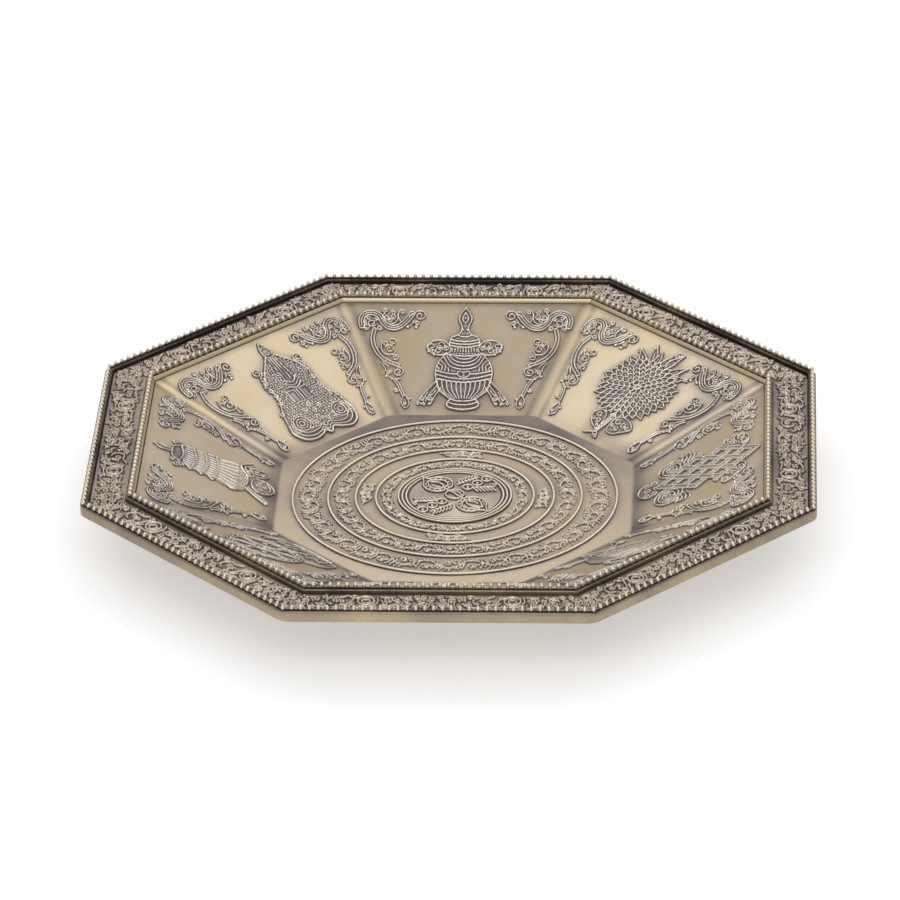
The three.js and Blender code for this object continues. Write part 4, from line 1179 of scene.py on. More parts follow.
@dataclass
class Pan:
    """The flat octagonal floor with its eight sloping walls and the narrow flange they end in."""

    plan: Plan
    per_side: int = 80
    floor_step: float = 1.0
    wall_step: float = 0.8
    inner_apothem: float = 18.0
    flange_apothem: float = 120.8
    flange_top: float = 21.4
    flange_bottom: float = 19.9
    foot_apothem: float = 62.4
    fold: float = 2.4
    fold_run_out: float = 6.0

    def rings(self) -> list[Point]:
        """Lists the octagons of the pan as apothem and height, from the middle of the floor outwards."""
        p = self.plan
        count = round((p.floor - self.inner_apothem) / self.floor_step)
        rings = [(a, p.floor_top) for a in np.linspace(self.inner_apothem, p.floor, count + 1)]
        count = round(p.slope_length / self.wall_step)
        rings += list(zip(np.linspace(p.floor, p.mouth, count + 1)[1:],
                          np.linspace(p.floor_top, p.seam, count + 1)[1:]))
        lean = (p.mouth - p.floor) / (p.seam - p.floor_top)
        under = self.foot_apothem + self.flange_bottom * lean
        rings += [(p.mouth, self.flange_top), (self.flange_apothem - 0.3, self.flange_top),
                  (self.flange_apothem, self.flange_top - 0.3), (self.flange_apothem, self.flange_bottom + 0.3),
                  (self.flange_apothem - 0.3, self.flange_bottom), (under, self.flange_bottom)]
        rings += [(self.foot_apothem + z * lean, z) for z in (14, 8, 3, 0.8)]
        return rings + [(self.foot_apothem, 0.1), (self.foot_apothem - 0.5, 0), (self.foot_apothem - 4, 0)]

    def build(self, shading: "Shading") -> Piece:
        """Builds the pan.

        Args:
            shading: how much each place is rubbed, with the painted light and shade on the pan.

        Returns:
            The piece.
        """
        bm = bmesh.new()
        bmesh.ops.create_circle(bm, cap_ends=False, radius=MM / math.cos(HALF_ANGLE), segments=SIDES)
        bmesh.ops.rotate(bm, verts=bm.verts[:], cent=(0, 0, 0), matrix=Matrix.Rotation(HALF_ANGLE, 3, "Z"))
        bmesh.ops.subdivide_edges(bm, edges=bm.edges[:], cuts=self.per_side - 1)
        rings = self.rings()
        ring, edges = bm.verts[:], bm.edges[:]
        bmesh.ops.scale(bm, vec=(rings[0][0],) * 2 + (1,), verts=ring)
        bmesh.ops.translate(bm, vec=(0, 0, rings[0][1] * MM), verts=ring)
        bmesh.ops.contextual_create(bm, geom=edges)
        for (a, z), (next_a, next_z) in zip(rings, rings[1:]):
            made = bmesh.ops.extrude_edge_only(bm, edges=edges)["geom"]
            ring = [g for g in made if isinstance(g, bmesh.types.BMVert)]
            edges = [g for g in made if isinstance(g, bmesh.types.BMEdge) and g.is_boundary]
            bmesh.ops.scale(bm, vec=(next_a / a, next_a / a, 1), verts=ring)
            bmesh.ops.translate(bm, vec=(0, 0, (next_z - z) * MM), verts=ring)
        bmesh.ops.contextual_create(bm, geom=edges)
        bmesh.ops.recalc_face_normals(bm, faces=bm.faces[:])
        layer = bm.verts.layers.float.new("rub")
        for vert, rub in zip(bm.verts, np.clip(shading(np.array([v.co for v in bm.verts]) / MM), 0, 1)):
            vert[layer] = rub
        self.map_brush(bm)
        self.round_folds(bm)
        return Piece("pan_dressed", to_mesh("pan_dressed", bm, 24), FIELD, "antique_field", ("pan",))

    def round_folds(self, bm: bmesh.types.BMesh) -> None:
        """Rounds the folds between the sloping walls, less and less towards the mouth and the floor's middle."""
        p = self.plan
        for vert in bm.verts:
            place = vert.co / MM
            side = round(math.atan2(place.x, place.y) / (2 * HALF_ANGLE))
            turn = Matrix.Rotation(2 * HALF_ANGLE * side, 3, "Z")
            flat = turn @ place
            below_mouth, beyond_floor = p.mouth - flat.y, self.fold_run_out - (p.floor - flat.y)
            if place.z < p.floor_top - 0.05 or below_mouth <= 0 or beyond_floor <= 0:
                continue
            reach = self.fold * min(1.0, below_mouth / self.fold_run_out, beyond_floor / self.fold_run_out)
            from_corner = flat.y * math.tan(HALF_ANGLE) - abs(flat.x)
            if from_corner < reach:
                radius = reach / math.tan(HALF_ANGLE)
                angle = HALF_ANGLE * (1 - from_corner / reach)
                shift = reach - radius * math.sin(angle) - from_corner
                flat.x -= math.copysign(shift, flat.x)
                flat.y -= radius * (1 - math.cos(angle))
                vert.co = turn.transposed() @ flat * MM

    def map_brush(self, bm: bmesh.types.BMesh) -> None:
        """Lays the UV map brush with its second axis down each wall."""
        uv = bm.loops.layers.uv.new("brush")
        for face in bm.faces:
            middle = face.calc_center_median()
            side = round(math.atan2(middle.x, middle.y) / (2 * HALF_ANGLE))
            turn = Matrix.Rotation(2 * HALF_ANGLE * side, 3, "Z")
            on_floor = middle.z / MM < self.plan.floor_top + 0.05
            for corner in face.loops:
                flat = corner.vert.co if on_floor else turn @ corner.vert.co
                corner[uv].uv = (flat.x * 10 + side * 3.7, flat.y * 10)


@dataclass
class RimFrame:
    """The octagonal frame round the mouth: bright inner wall, channel and outer skirt with rounded corners."""

    plan: Plan
    inner_gap: float = 0.3
    inner_wall: float = 2.7
    inner_lean: float = 0.45
    outer_wall: float = 2.6
    channel_depth: float = 2.0
    channel_thickness: float = 1.1
    corner_radius: float = 5.0
    edge: float = 0.35
    bright_wall: float = 0.9
    inner_top: float = 0.3
    channel_edge: float = 0.06
    outer_top: float = 0.2
    outer_edge: float = 0.36
    skirt_back: float = 0.16
    skirt_front_light: float = 0.34

    def rule(self, place: Vector) -> float:
        """Says how much a place of the frame is rubbed, with painted light and shade: bright walls and edges, a channel
        dark with patina and painted shade, painted shade at the seam and a skirt painted lighter towards the front.
        """
        p = self.plan
        a = apothem(place)
        on_top = place.z > p.rim_top - self.edge - 0.1
        # The inner wall: bright, with painted shade at its foot where it meets the pan.
        if a < p.mouth + 1.2:
            return self.bright_wall - 0.7 * bell(place.z - (p.seam - 0.4), 0.7)
        if a < p.mouth + 4:
            return self.inner_top
        # The channel: dark patina together with painted shade in its recess.
        if a < p.outer - self.outer_wall + 0.1:
            return self.channel_edge if on_top else 0.0
        if on_top:
            return self.outer_edge if a > p.outer - 0.4 else self.outer_top
        # The skirt: painted light, lighter where it turns to the front; also darker just below its top edge.
        turned = 0.5 - 0.5 * place.normalized().y
        return self.skirt_back + self.skirt_front_light * turned - 0.12 * bell(place.z - p.rim_top, 0.9)

    def build(self) -> Piece:
        """Builds the frame."""
        p = self.plan
        inside_edge = p.mouth + self.inner_gap
        channel = p.rim_top - self.channel_depth
        low = channel - self.channel_thickness
        outer_in = p.outer - self.outer_wall
        e = self.edge
        profile = [
            (inside_edge, low), (outer_in, low), (outer_in, p.skirt_bottom), (p.outer - e, p.skirt_bottom),
            (p.outer, p.skirt_bottom + e), (p.outer, p.skirt_bottom + 1.6), (p.outer, p.rim_top - 1),
            (p.outer, p.rim_top - e), (p.outer - e, p.rim_top), (outer_in + e, p.rim_top),
            (outer_in, p.rim_top - e), (outer_in, channel), (inside_edge + self.inner_wall, channel),
            (inside_edge + self.inner_wall, p.rim_top - e), (inside_edge + self.inner_wall - e, p.rim_top),
            (inside_edge + self.inner_lean + 0.25, p.rim_top), (inside_edge + self.inner_lean, p.rim_top - 0.25),
            (inside_edge + 0.1, p.seam + 0.7), (inside_edge, p.seam + 0.2), (inside_edge, p.seam - 0.5),
        ]
        bm = bmesh.new()
        lathe(bm, profile, SIDES)
        corners = [edge for edge in bm.edges
                   if all(apothem(v.co / MM) > p.outer - e - 0.05 for v in edge.verts)
                   and abs(edge.verts[0].co.angle(edge.verts[1].co)) < 0.02
                   and abs(edge.verts[0].co.z - edge.verts[1].co.z) > 1e-6]
        offset = self.corner_radius * math.tan(HALF_ANGLE) * MM
        bmesh.ops.bevel(bm, geom=corners, offset=offset, offset_type="OFFSET", segments=5, profile=0.5,
                        affect="EDGES", material=-1, clamp_overlap=True)
        set_rub_and_shade(bm, self.rule)
        mesh = to_mesh("rim_frame_dressed", bm, 25)
        return Piece(mesh.name, mesh, RIM, "bright_rim", ("rim_frame",))


@dataclass
class BeadBorder:
    """A beaded wire along the top of one of the rim's walls, with a bead on every corner.

    The size of a bead is given along the wire, across it and upwards.
    """

    plan: Plan
    name: str
    line: float
    pitch: float
    size: tuple[float, float, float]
    rise: float

    def build(self) -> Piece:
        """Builds the wire and its beads."""
        base = self.plan.rim_top
        bm = bmesh.new()
        wire = [(self.line - 0.6, base - 0.1), (self.line + 0.6, base - 0.1), (self.line + 0.55, base + 0.4),
                (self.line, base + 0.7), (self.line - 0.55, base + 0.4)]
        lathe(bm, wire, SIDES)
        side = 2 * self.line * math.tan(HALF_ANGLE)
        count = round(side / self.pitch)
        wire_parts = set(bm.verts)
        along, across, up = (v / 2 * MM for v in self.size)
        for step in range(count):
            spot = Vector((side * (step / count - 0.5), self.line, base + self.rise)) * MM - Vector((0, 0, up))
            matrix = Matrix.Translation(spot) @ Matrix.Diagonal((along, across, up, 1))
            bmesh.ops.create_uvsphere(bm, u_segments=8, v_segments=6, radius=1, matrix=matrix)
        beads = [v for v in bm.verts if v not in wire_parts]
        edges = dict.fromkeys(e for v in beads for e in v.link_edges)
        faces = dict.fromkeys(f for v in beads for f in v.link_faces)
        bmesh.ops.spin(bm, geom=[*beads, *edges, *faces], cent=(0, 0, 0), axis=(0, 0, 1), dvec=(0, 0, 0),
                       angle=2 * math.pi * (SIDES - 1) / SIDES, steps=SIDES - 1, use_merge=False,
                       use_normal_flip=False, use_duplicate=True)
        # Darker towards the bottom of each bead and on the wire, lighter towards the top.
        set_rub_and_shade(bm, lambda v: (v.z - base - 0.45) / 0.6)
        mesh = to_mesh(self.name + "_dressed", bm)
        return Piece(mesh.name, mesh, BEADS, "polished_beads", (self.name,))


@dataclass
class ScrollBands:
    """Eight strips of scrollwork in the channel of the rim, cut to a mitre at both ends."""

    plan: Plan
    ground: float = 0.35
    margin: float = 0.15
    repeat: float = 48.5
    relief: Point = (1.1, 10.7)
    eye: Point = (0, 6.6)
    small: float = 2.55
    step: float = 0.2

    def unit(self) -> list[Mark]:
        """Draws the large volutes of one repeat, across from its eye and in from the band's outer edge."""
        w = {"width": 0.46, "top": 1.05}
        return [
            *rings(*self.eye, 2.75, width=0.7, top=1.2), *rings(0, 6.4, 1.4, **w),
            ridge((-3.7, 9.4), (-3.9, 6), (-2.4, 3.4), (0.4, 2.7), (3, 3.2), (4.4, 1.4), **w),
            ridge((2, 8.8), (3.9, 8.4), (4.9, 6.2), (6.2, 4.2), (8.2, 4.4), (8.4, 6), (7.2, 6.4), **w),
            curl(7.6, 2.9, 1.7, 200, 1.4, 1, lead=[(4.6, 5.2)], **w),
            curl(-7.2, 7.3, 1.9, 60, 1.5, 1, lead=[(-4.6, 9.4)], **w), ridge((-4.9, 1.6), (-7.4, 2.6), (-10, 4.4), **w),
            curl(-9.2, 3.4, 1.6, 0, 1.4, -1, **w), curl(-13.4, 7.2, 1.8, 180, 1.4, -1, lead=[(-10.6, 9.6)], **w),
            ridge((6, 10.2), (8.6, 8.8), (11.2, 9.2), (13, 7.4), (12.6, 5.2), (11, 4.6), **w),
            curl(14.4, 3.2, 1.5, 30, 1.3, 1, lead=[(16.6, 5.4)], **w), curl(16.6, 8.2, 1.7, -60, 1.4, 1, **w),
            curl(-18.6, 3.8, 1.7, 90, 1.4, 1, lead=[(-15.4, 2.4)], **w), curl(-21.4, 8, 1.6, 0, 1.3, -1, **w),
            curl(21.6, 4.4, 1.6, 180, 1.4, 1, **w), ridge((18.6, 1.6), (19.4, 4.6), (19, 7.6), (20.8, 10.2), **w),
        ]

    def filling(self, main: Sequence[Mark], reach: float) -> list[Mark]:
        """Fills the space between the large volutes with small curls and leaves.

        Args:
            main: the marks already laid out.
            reach: half the length to fill.

        Returns:
            The small marks, the same at every run.
        """
        scatter = random.Random(11)
        lines = [mark.sampled() for mark in main]
        marks = []
        low, high = self.relief
        rows = round((high - low) / self.small)
        for column in range(round(2 * reach / self.small)):
            for row in range(rows):
                x = -reach + (column + 0.5 * (row % 2) + 0.5) * self.small + scatter.uniform(-0.25, 0.25)
                y = low + (row + 0.5) * (high - low) / rows + scatter.uniform(-0.15, 0.15)
                spot = np.array([[x, y]])
                room = min(float(nearest(spot, line)[0][0]) for line in lines)
                start, hand = scatter.uniform(0, 360), scatter.choice((-1, 1))
                if math.hypot(abs(x) - self.repeat / 2, y - self.eye[1]) < 3:
                    continue
                aim = math.radians(start)
                if room > 1.1:
                    tail = (x + 1.7 * math.cos(aim - 0.8 * hand), y + 1.7 * math.sin(aim - 0.8 * hand))
                    marks.append(curl(x, y, 1.0, start, 0.95, hand, shrink=0.4, width=0.42, top=0.95, lead=[tail]))
                elif room > 0.7:
                    foot = (x - 0.9 * math.cos(aim), y - 0.9 * math.sin(aim))
                    tip = (x + 0.9 * math.cos(aim + hand), y + 0.9 * math.sin(aim + hand))
                    marks.append(ridge(foot, (x + 0.3, y), tip, width=0.42, top=0.9))
        return marks

    def canvas(self) -> Canvas:
        """Returns the painted strip."""
        p = self.plan
        width = p.band_outer - p.band_inner
        reach = p.band_outer * math.tan(HALF_ANGLE) + 0.5
        strip = Canvas(-reach, 0, reach, width, self.step)
        main = [mark.moved(middle, 0) for middle in (-self.repeat / 2, self.repeat / 2) for mark in self.unit()]
        strip.paint(main).paint(self.filling(main, reach))
        strip.height += self.ground
        return strip

    def trim(self, bm: bmesh.types.BMesh) -> None:
        """Cuts both ends of the flat strip to the mitre lines."""
        for hand in (-1, 1):
            corner = Vector((hand * (self.plan.band_outer * math.tan(HALF_ANGLE) - self.margin), 0, 0))
            outwards = Vector((hand * math.cos(HALF_ANGLE), -math.sin(HALF_ANGLE), 0))
            bmesh.ops.bisect_plane(bm, geom=bm.verts[:] + bm.edges[:] + bm.faces[:], plane_co=corner,
                                   plane_no=outwards, clear_outer=True, dist=1e-5)

    def build(self, canvas: Canvas) -> list[Piece]:
        """Builds all eight bands from the painted strip."""
        p, made = self.plan, []
        flat = raise_mesh("band", canvas, sink=-0.15, whole=True, lift=0.85, trim=self.trim)
        seat = Matrix.Translation((0, p.band_outer * MM, p.band_bottom * MM)) @ Matrix.Scale(MM, 4)
        for place in range(SIDES):
            mesh = copied(flat, f"scroll_band_{place + 1}_dressed", p.side(place) @ seat)
            made.append(Piece(mesh.name, mesh, BAND, "dark_band", (f"scroll_band_{place + 1}",)))
        return made


@dataclass
class FloorRings:
    """The four raised round wires on the floor."""

    plan: Plan
    radii: tuple[float, ...] = (56.3, 44.0, 34.4, 27.4)
    width: float = 1.05
    rise: float = 0.75
    steps: int = 160

    def build(self) -> list[Piece]:
        """Builds the rings."""
        made = []
        z = self.plan.floor_top
        for place, radius in enumerate(self.radii):
            bm = bmesh.new()
            half = self.width / 2
            profile = [(radius + half * math.cos(a), z - 0.1 + (self.rise + 0.1) * math.sin(a) ** 0.8)
                       for a in np.linspace(0, math.pi, 10)]
            lathe(bm, profile, self.steps)
            # Darker towards the foot of each ring, lighter on top.
            set_rub_and_shade(bm, lambda v: (v.z - z - 0.1) / 0.6)
            mesh = to_mesh(f"floor_ring_{place + 1}_dressed", bm)
            made.append(Piece(mesh.name, mesh, FLOOR_RELIEF, "floor_relief", (f"floor_ring_{place + 1}",)))
        return made


@dataclass
class Medallion:
    """The low disc in the middle of the floor, with fine grooves round its edge."""

    plan: Plan
    radius: float = 20.1
    rim_inner: float = 15.9
    field_rise: float = 0.5
    rim_rise: float = 0.8
    groove: float = 0.36
    grooves: int = 3
    steps: int = 160

    def build(self) -> Piece:
        """Builds the disc."""
        z = self.plan.floor_top
        profile = [(0, z - 0.1), (self.radius, z - 0.1), (self.radius - 0.1, z + 0.45)]
        pitch = (self.radius - 0.2 - self.rim_inner) / self.grooves
        for step in range(self.grooves):
            r = self.radius - 0.2 - step * pitch
            low = z + self.rim_rise - self.groove
            profile += [(r - 0.1 * pitch, z + self.rim_rise), (r - 0.42 * pitch, z + self.rim_rise),
                        (r - 0.55 * pitch, low), (r - 0.95 * pitch, low)]
        profile += [(self.rim_inner - 0.2, z + self.field_rise), (0, z + self.field_rise)]
        bm = bmesh.new()
        lathe(bm, profile, self.steps)
        set_rub_and_shade(bm, lambda v: 0.4 if math.hypot(v.x, v.y) < self.rim_inner else (v.z - z - self.field_rise) * 3.2)
        mesh = to_mesh("medallion_dressed", bm, 40)
        return Piece(mesh.name, mesh, FLOOR_RELIEF, "dark_floor_relief", ("medallion",))


@dataclass
class FloorOrnament:
    """Rings of running leaf-and-curl vine between the floor's wires, and four sprays in the third ring.

    Each band is given by its outer and inner radius and its number of waves, and the sprays by their radii and
    the length of one.
    """

    plan: Plan
    bands: tuple[tuple[float, float, int], ...] = ((54.4, 46.0, 20), (42.5, 35.9, 16), (25.9, 21.5, 12))
    spray: tuple[float, float, float] = (33.2, 28.6, 12.6)
    top: float = 0.8

    def unit(self, pitch: float, depth: float, variant: int) -> list[Mark]:
        """Draws one wave of the vine, from one outward bend to the next.

        Args:
            pitch: its length.
            depth: the depth of the band that it fills.
            variant: which of three fillings it has.
        """
        middle, swing = depth / 2, depth * 0.3
        w = {"width": 0.55, "top": self.top}

        def stem(x: float) -> float:
            """Returns how far in the stem lies."""
            return middle - swing * math.cos(math.tau * x / pitch)

        marks = [Mark(tuple((x, stem(x)) for x in np.linspace(0, pitch, 13)), **w)]
        for bend, hand in ((0.5, 1), (1.0, -1)):
            x, y, reach = pitch * bend, middle - hand * 0.14 * depth, 0.21 * depth
            marks.append(curl(x, y, reach, 180, 1.4, hand, lead=[(x - 0.29 * pitch, stem(x - 0.29 * pitch))], **w))
            edge = middle - hand * 0.46 * depth
            for lean, far in ((-0.33, -0.27), (-0.25, -0.17), (0.17, 0.21), (0.27, 0.3), (0.36, 0.36)):
                foot = x + lean * pitch * 0.9
                tip = x + far * pitch
                rise = edge + hand * 0.12 * depth * (variant + abs(lean) * 10 % 2) / 2
                marks.append(ridge((foot, stem(foot)), ((foot + tip) / 2 - 0.3, (stem(foot) + rise) / 2), (tip, rise),
                                   (tip + 0.55, rise + hand * 0.5), width=0.6, tip=0.7, top=self.top))
            outer = middle + hand * 0.47 * depth
            for k in (-1, 0, 1):
                foot = x + (k * 0.1 + 0.03 * variant) * pitch
                marks.append(ridge((foot, stem(foot)), (foot + 0.5, (stem(foot) + outer) / 2), (foot + 1.1, outer),
                                   width=0.6, tip=0.6, top=self.top))
            if variant == 1:
                marks.append(curl(x + 0.2 * pitch, middle - hand * 0.02 * depth, 0.1 * depth, 0, 1.1, hand, **w))
            elif variant == 2:
                marks.append(pearl(x + 0.18 * pitch, middle - hand * 0.3 * depth, 0.5, self.top))
        return marks

    def canvases(self) -> list[Canvas]:
        """Returns the painted vines and sprays, unrolled clockwise from the tray's x axis."""
        painted = []
        for outer, inner, count in self.bands:
            length = math.pi * (outer + inner)
            strip = Canvas(0, 0, length, outer - inner)
            pitch = length / count
            for step in range(-1, count + 1):
                marks = self.unit(pitch, outer - inner, step * 7 % 3)
                strip.paint(mark.moved(step * pitch, 0) for mark in marks)
            painted.append(strip)
        outer, inner, span = self.spray
        length = math.pi * (outer + inner)
        strip = Canvas(0, 0, length, outer - inner)
        for quarter in range(5):
            for step in (-1, 0):
                marks = self.unit(span / 2, outer - inner, step % 3)
                strip.paint(mark.moved(length * quarter / 4 + step * span / 2, 0) for mark in marks)
        return painted + [strip]

    def radii(self) -> list[Point]:
        """Lists the outer and inner radius of each canvas."""
        return [band[:2] for band in self.bands] + [self.spray[:2]]

    def build(self, canvases: Sequence[Canvas]) -> list[Piece]:
        """Builds the three vines and the four sprays from their paintings."""
        made = []
        names = [(f"floor_vine_{place + 1}", (f"floor_vine_{place + 1}",)) for place in range(len(self.bands))]
        names.append(("floor_sprays", tuple(f"floor_spray_{quarter + 1}" for quarter in range(4))))
        for (name, nodes), (outer, inner), strip in zip(names, self.radii(), canvases):
            middle = (outer + inner) / 2

            def bend(point: Vector) -> Vector:
                """Takes a point of the straight strip round the floor."""
                angle, radius = point.x / middle, (outer + point.y) * MM
                level = (self.plan.floor_top + point.z) * MM
                return Vector((radius * math.cos(angle), -radius * math.sin(angle), level))

            mesh = raise_mesh(name + "_dressed", strip, bend=bend)
            made.append(Piece(mesh.name, mesh, FLOOR_RELIEF, "floor_relief", nodes))
        return made


@dataclass
class DoubleVajra:
    """Two crossed thunderbolts on the medallion: one with beaded oval heads, one with heads of linked rings."""

    plan: Plan
    field_rise: float = 0.5
    half_size: float = 15
    step: float = 0.17

    LINE = {"width": 0.74, "top": 0.85}

    def marks(self) -> list[Mark]:
        """Draws one head of each thunderbolt, with y downwards."""
        w = self.LINE
        oval = [ridge((-11.7, -12.4), (-9.4, -11.4), (-6.4, -12.3), (-3.2, -11.6), (-1.3, -9), (-1.2, -6),
                      (-2.6, -3.8), **w),
                ridge((-11.7, -12.4), (-11.2, -9.4), (-11.2, -6.4), (-9.8, -3.6), (-7.2, -2.2), (-4.6, -2.4),
                      (-2.6, -3.8), **w),
                loop((-9.4, -9.4), (-7.4, -10.4), (-4.6, -10.2), (-2.9, -8.2), (-3, -5.8), (-4.6, -4.2), (-7, -4),
                     (-8.8, -5.2), (-9.5, -7.2), **w),
                ridge((-8.8, -9), (-6.4, -8.8), (-4.6, -7), (-4.2, -5), width=0.8, top=0.85),
                ridge((-8.2, -6.6), (-6.6, -5.4), (-5, -5), **w)]
        oval += [pearl(-6.2 + 4.2 * math.cos(a), -7.25 + 4.1 * math.sin(a), 0.55, 0.85)
                 for a in np.linspace(0, math.tau, 15)[:-1]]
        chain = []
        for x, y in ((4.3, -5.3), (7.5, -8.3), (10.6, -11.4)):
            chain += [*rings(x, y, 1.75, **w), pearl(x, y, 0.7, 0.8)]
        for step in range(6):
            x, y = 0.9 + 1.1 * step, -8.8 - 0.75 * step
            chain.append(ridge((x + 0.7, y + 1.1), (x, y - 0.4), (x + 0.5, y - 2.2), width=0.75, top=0.8))
            x, y = 6.9 + 1.25 * step, -3.9 - 0.1 * step
            chain.append(ridge((x - 0.8, y - 0.7), (x, y + 0.4), (x + 0.9, y + 1.5), width=0.75, top=0.8))
        chain += [ridge((0.8, -7.4), (3.6, -9.6), (6.6, -11.8), **w),
                  ridge((6.2, -4.8), (9.6, -5.2), (13.6, -5.4), **w),
                  *knots((7, -12.9, 0.9), (13.4, -7.2, 0.8), **w)]
        return oval + chain

    def build(self) -> Piece:
        """Builds the crossed thunderbolts."""
        w, half = self.LINE, self.half_size
        sheet = Canvas(-half, -half, half, half, self.step)
        sheet.paint(rings(0, 0, 3.2, **w) + [ridge((-2.6, -2.6), (-0.6, -1.2), (1, 1), (2.6, 2.6), width=0.9, top=0.9),
                                             ridge((-1.4, -2.8), (1.2, -1.4), (2.6, 1.2), **w)])
        drawn = self.marks()
        sheet.paint(drawn)
        sheet.paint(replace(mark, line=tuple((-x, -y) for x, y in mark.line)) for mark in drawn)
        mesh = raise_mesh("double_vajra_dressed", sheet.bed(0.35, 0.3))
        mesh.transform(Matrix.Translation((0, 0, (self.plan.floor_top + self.field_rise) * MM)) @ Matrix.Scale(MM, 4))
        return Piece(mesh.name, mesh, FLOOR_RELIEF, "floor_relief", ("double_vajra",))


@dataclass
class Studio:
    """The pale floor, the soft lights and the camera of the photograph."""

    azimuth: float = 2.914
    elevation: float = 27.638
    roll: float = -1.053
    distance: float = 2.39578
    lens: float = 277.58
    shift: Point = (0.001306, 0.004746)
    aim_height: float = 0.0252
    surroundings: Colour = (0.6, 0.588, 0.582)
    floor_colour: Colour = (0.8, 0.8, 0.8)
    floor_glow: float = 0.4
    back_light: float = 1.25
    front_light: float = 1.2

    def camera(self) -> None:
        """Puts the camera where the photograph was taken from."""
        a, e, roll = (math.radians(v) for v in (self.azimuth, self.elevation, self.roll))
        back = Vector((math.sin(a) * math.cos(e), -math.cos(a) * math.cos(e), math.sin(e)))
        level = Vector((math.cos(a), math.sin(a), 0))
        rise = back.cross(level)
        right = math.cos(roll) * level + math.sin(roll) * rise
        up = -math.sin(roll) * level + math.cos(roll) * rise
        spot = back * self.distance - right * self.shift[0] - up * self.shift[1]
        data = bpy.data.cameras.new("camera")
        data.lens, data.sensor_width, data.clip_start, data.clip_end = self.lens, 36, 0.1, 50
        thing = bpy.data.objects.new("camera", data)
        turn = Matrix((right, up, back)).transposed().to_4x4()
        thing.matrix_world = Matrix.Translation(spot + Vector((0, 0, self.aim_height))) @ turn
        bpy.context.scene.collection.objects.link(thing)
        bpy.context.scene.camera = thing

    def world(self) -> None:
        """Lights the tray softly from all round."""
        world = bpy.data.worlds.new("studio")
        bpy.context.scene.world = world
        world.use_nodes = True
        world.node_tree.nodes["Background"].inputs["Color"].default_value = (*self.surroundings, 1)

    def softbox(self, name: str, spot: Point, height: float, size: Point, radiance: float) -> None:
        """Hangs a soft light that faces the tray.

        Args:
            name: the light's name.
            spot: where it hangs, in metres.
            height: how high it hangs.
            size: its two sides.
            radiance: how bright its face looks, where 1 is white.
        """
        data = bpy.data.lights.new(name, "AREA")
        data.shape, data.size, data.size_y = "RECTANGLE", *size
        data.energy = radiance * math.pi * size[0] * size[1]
        thing = bpy.data.objects.new(name, data)
        thing.location = (*spot, height)
        thing.rotation_mode = "QUATERNION"
        thing.rotation_quaternion = Vector((*spot, height)).to_track_quat("Z", "Y")
        bpy.context.scene.collection.objects.link(thing)

    def floor(self) -> None:
        """Lays the pale floor, which looks white and keeps the tray's shadow."""
        bm = bmesh.new()
        bmesh.ops.create_grid(bm, x_segments=1, y_segments=1, size=6)
        bmesh.ops.translate(bm, vec=(0, 0, -0.0002), verts=bm.verts[:])
        thing = link("studio_floor", to_mesh("studio_floor", bm))
        n = Nodes("pale_floor")
        n.feed(n.shader.inputs["Base Color"], self.floor_colour)
        n.feed(n.shader.inputs["Roughness"], 0.9)
        path = n.add("LightPath")
        seen = n.maths("MAXIMUM", path.outputs["Is Camera Ray"], path.outputs["Is Glossy Ray"])
        seen = n.maths("MAXIMUM", seen, path.outputs["Is Transmission Ray"])
        n.feed(n.shader.inputs["Emission Color"], (1.0, 1.0, 1.0))
        n.feed(n.shader.inputs["Emission Strength"], n.maths("MULTIPLY", seen, self.floor_glow))
        thing.data.materials.append(n.material)

    def build(self) -> None:
        """Builds the whole studio."""
        self.camera()
        self.world()
        self.softbox("back", (0.0, 1.29), 1.53, (3.4, 1.1), self.back_light)
        self.softbox("front", (0.0, -1.29), 1.53, (2.4, 1.0), self.front_light)
        self.floor()
        bpy.context.scene.view_settings.view_transform = "Standard"


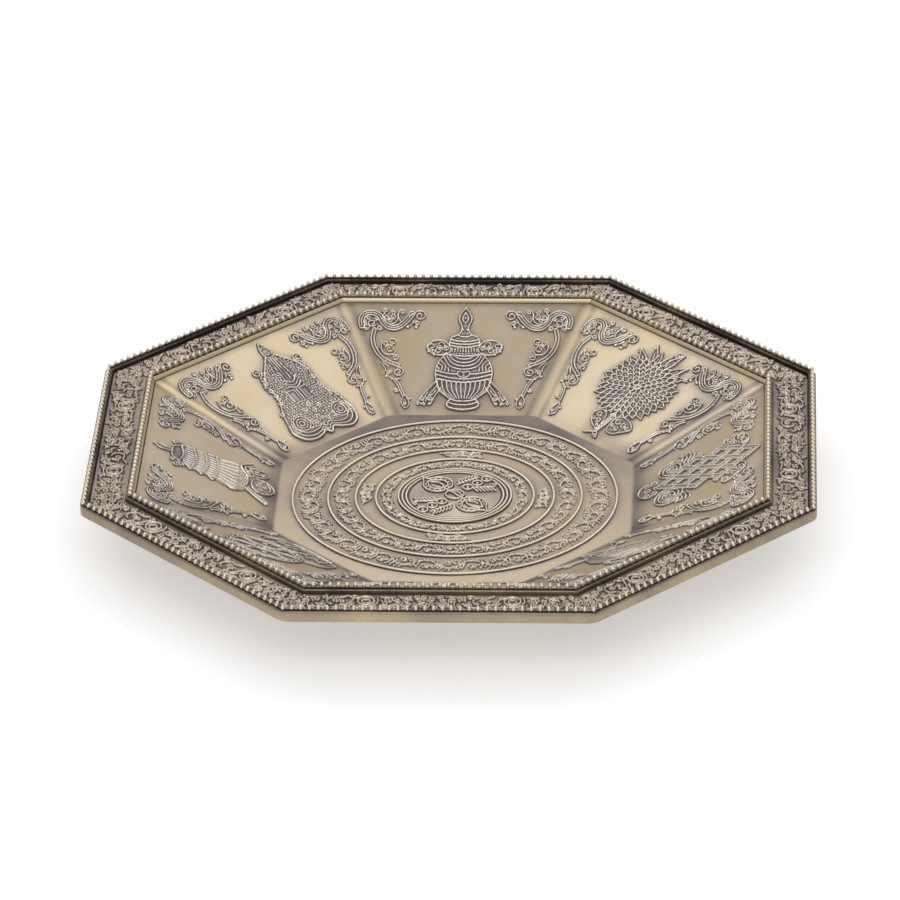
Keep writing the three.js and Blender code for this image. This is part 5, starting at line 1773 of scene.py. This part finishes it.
@dataclass
class Shading:
    """Where the pan is darker: patina and painted shade beside the relief, and painted shade in the folds, the seams
    and the walls' feet.
    """

    plan: Plan
    walls: list[list[Canvas]]
    rings: tuple[float, ...]
    bands: list[tuple[Point, Canvas]]
    foot_reach: float = 5.5
    streak_from_fold: float = 2.6
    streak_reach: float = 1.3
    fold_reach: float = 6.0
    seam_reach: float = 2.0
    ring_reach: float = 1.5
    hidden_rub: float = 0.55

    def __call__(self, places: np.ndarray) -> np.ndarray:
        """Says how much places of the pan are rubbed, with painted light and shade.

        Args:
            places: points in millimetres, one a row.

        Returns:
            The shares, from 0 in dark patina and painted shade to 1 on rubbed metal.
        """
        p = self.plan
        angle = np.arctan2(places[:, 0], places[:, 1])
        side = np.round(angle / (2 * HALF_ANGLE)).astype(int)
        offset = angle - side * 2 * HALF_ANGLE
        radius = np.hypot(places[:, 0], places[:, 1])
        level = radius * np.cos(offset)
        across = radius * np.sin(offset)
        backward = np.cos(angle)
        down = (p.mouth - level) / math.cos(p.slope)
        # Darker beside the relief, by each canvas's nearness: patina together with painted shade.
        near = np.zeros(len(places))
        for place in range(SIDES):
            chosen = side % SIDES == place
            for canvas in self.walls[place]:
                near[chosen] = np.maximum(near[chosen], canvas.sampled(across[chosen], down[chosen]))
        # Painted shade at the foot of each wall, stronger on the walls turned from the back.
        foot = bells(level - p.floor, self.foot_reach)
        # Painted shade: a dark streak beside each fold and a broad darkening round it.
        from_fold = level * math.tan(HALF_ANGLE) - abs(across)
        streak = bells(from_fold - self.streak_from_fold, self.streak_reach) + 0.3 * bells(from_fold, self.fold_reach)
        # Painted shade along the seam under the rim.
        seam = bells(down, self.seam_reach)
        turned = np.clip(1.25 - 1.35 * backward, 0, 1)
        wall = 1.0 - 0.75 * near - 0.34 * streak - 0.35 * seam - (0.12 + 0.6 * turned) * foot
        around = (math.pi / 2 + angle - math.pi) % math.tau
        # Darker beside the floor's rings and vines: patina together with painted shade.
        close = np.zeros(len(places))
        for (far, near_), canvas in self.bands:
            close = np.maximum(close, canvas.sampled(around * (far + near_) / 2, far - radius))
        ring = sum(bells(radius - r, self.ring_reach) for r in self.rings)
        inner = 0.66 - 0.34 * ring - 0.6 * close
        # Painted light and shade on the floor's outer border: darker towards the back, lighter towards the front.
        border = 0.6 - 0.62 * np.clip(backward - 0.2, 0, 0.6) + 0.3 * np.clip(-backward, 0, 1) - 0.25 * ring
        floor = np.where(radius > self.rings[0] + 1, border, inner)
        hidden = (places[:, 2] < 0.9 * p.floor_top) | (level > p.mouth + 0.2)
        return np.where(hidden, self.hidden_rub, np.where(level > p.floor - 0.1, wall, floor))


def main() -> None:
    """Builds the tray and its studio, and logs the tray's main sizes."""
    logging.basicConfig(level=logging.INFO, format="%(name)s %(message)s")
    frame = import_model()
    plan = Plan.from_frame(frame["nodes"])
    log.info("%s", plan)
    Studio().build()
    scrolls, emblems, bands = CornerScrolls(plan), Emblems(plan), ScrollBands(plan)
    floor_rings, ornament = FloorRings(plan), FloorOrnament(plan)
    scroll, drawn, vines = scrolls.canvas(), emblems.canvases(), ornament.canvases()
    beside = [scroll.shade(), scroll.mirrored().shade()]
    shading = Shading(plan, [beside + [canvas.shade()] for canvas in drawn.values()], floor_rings.radii,
                      [(radii, canvas.shade()) for radii, canvas in zip(ornament.radii(), vines)])
    pieces = [Pan(plan).build(shading), RimFrame(plan).build()]
    pieces += [BeadBorder(plan, "outer_bead_border", line=plan.outer - 1.3, pitch=2.93, size=(1.4, 1.6, 2.4),
                          rise=2.0).build(),
               BeadBorder(plan, "inner_bead_border", line=plan.mouth + 1.65, pitch=2.82, size=(1.5, 2.0, 2.9),
                          rise=2.3).build()]
    pieces += bands.build(bands.canvas()) + scrolls.build(scroll) + emblems.build(drawn)
    pieces += floor_rings.build() + ornament.build(vines) + [Medallion(plan).build(), DoubleVajra(plan).build()]
    materials: dict[str, bpy.types.Material] = {}
    for piece in pieces:
        piece.place(materials)
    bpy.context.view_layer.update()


if __name__ == "__main__":
    main()
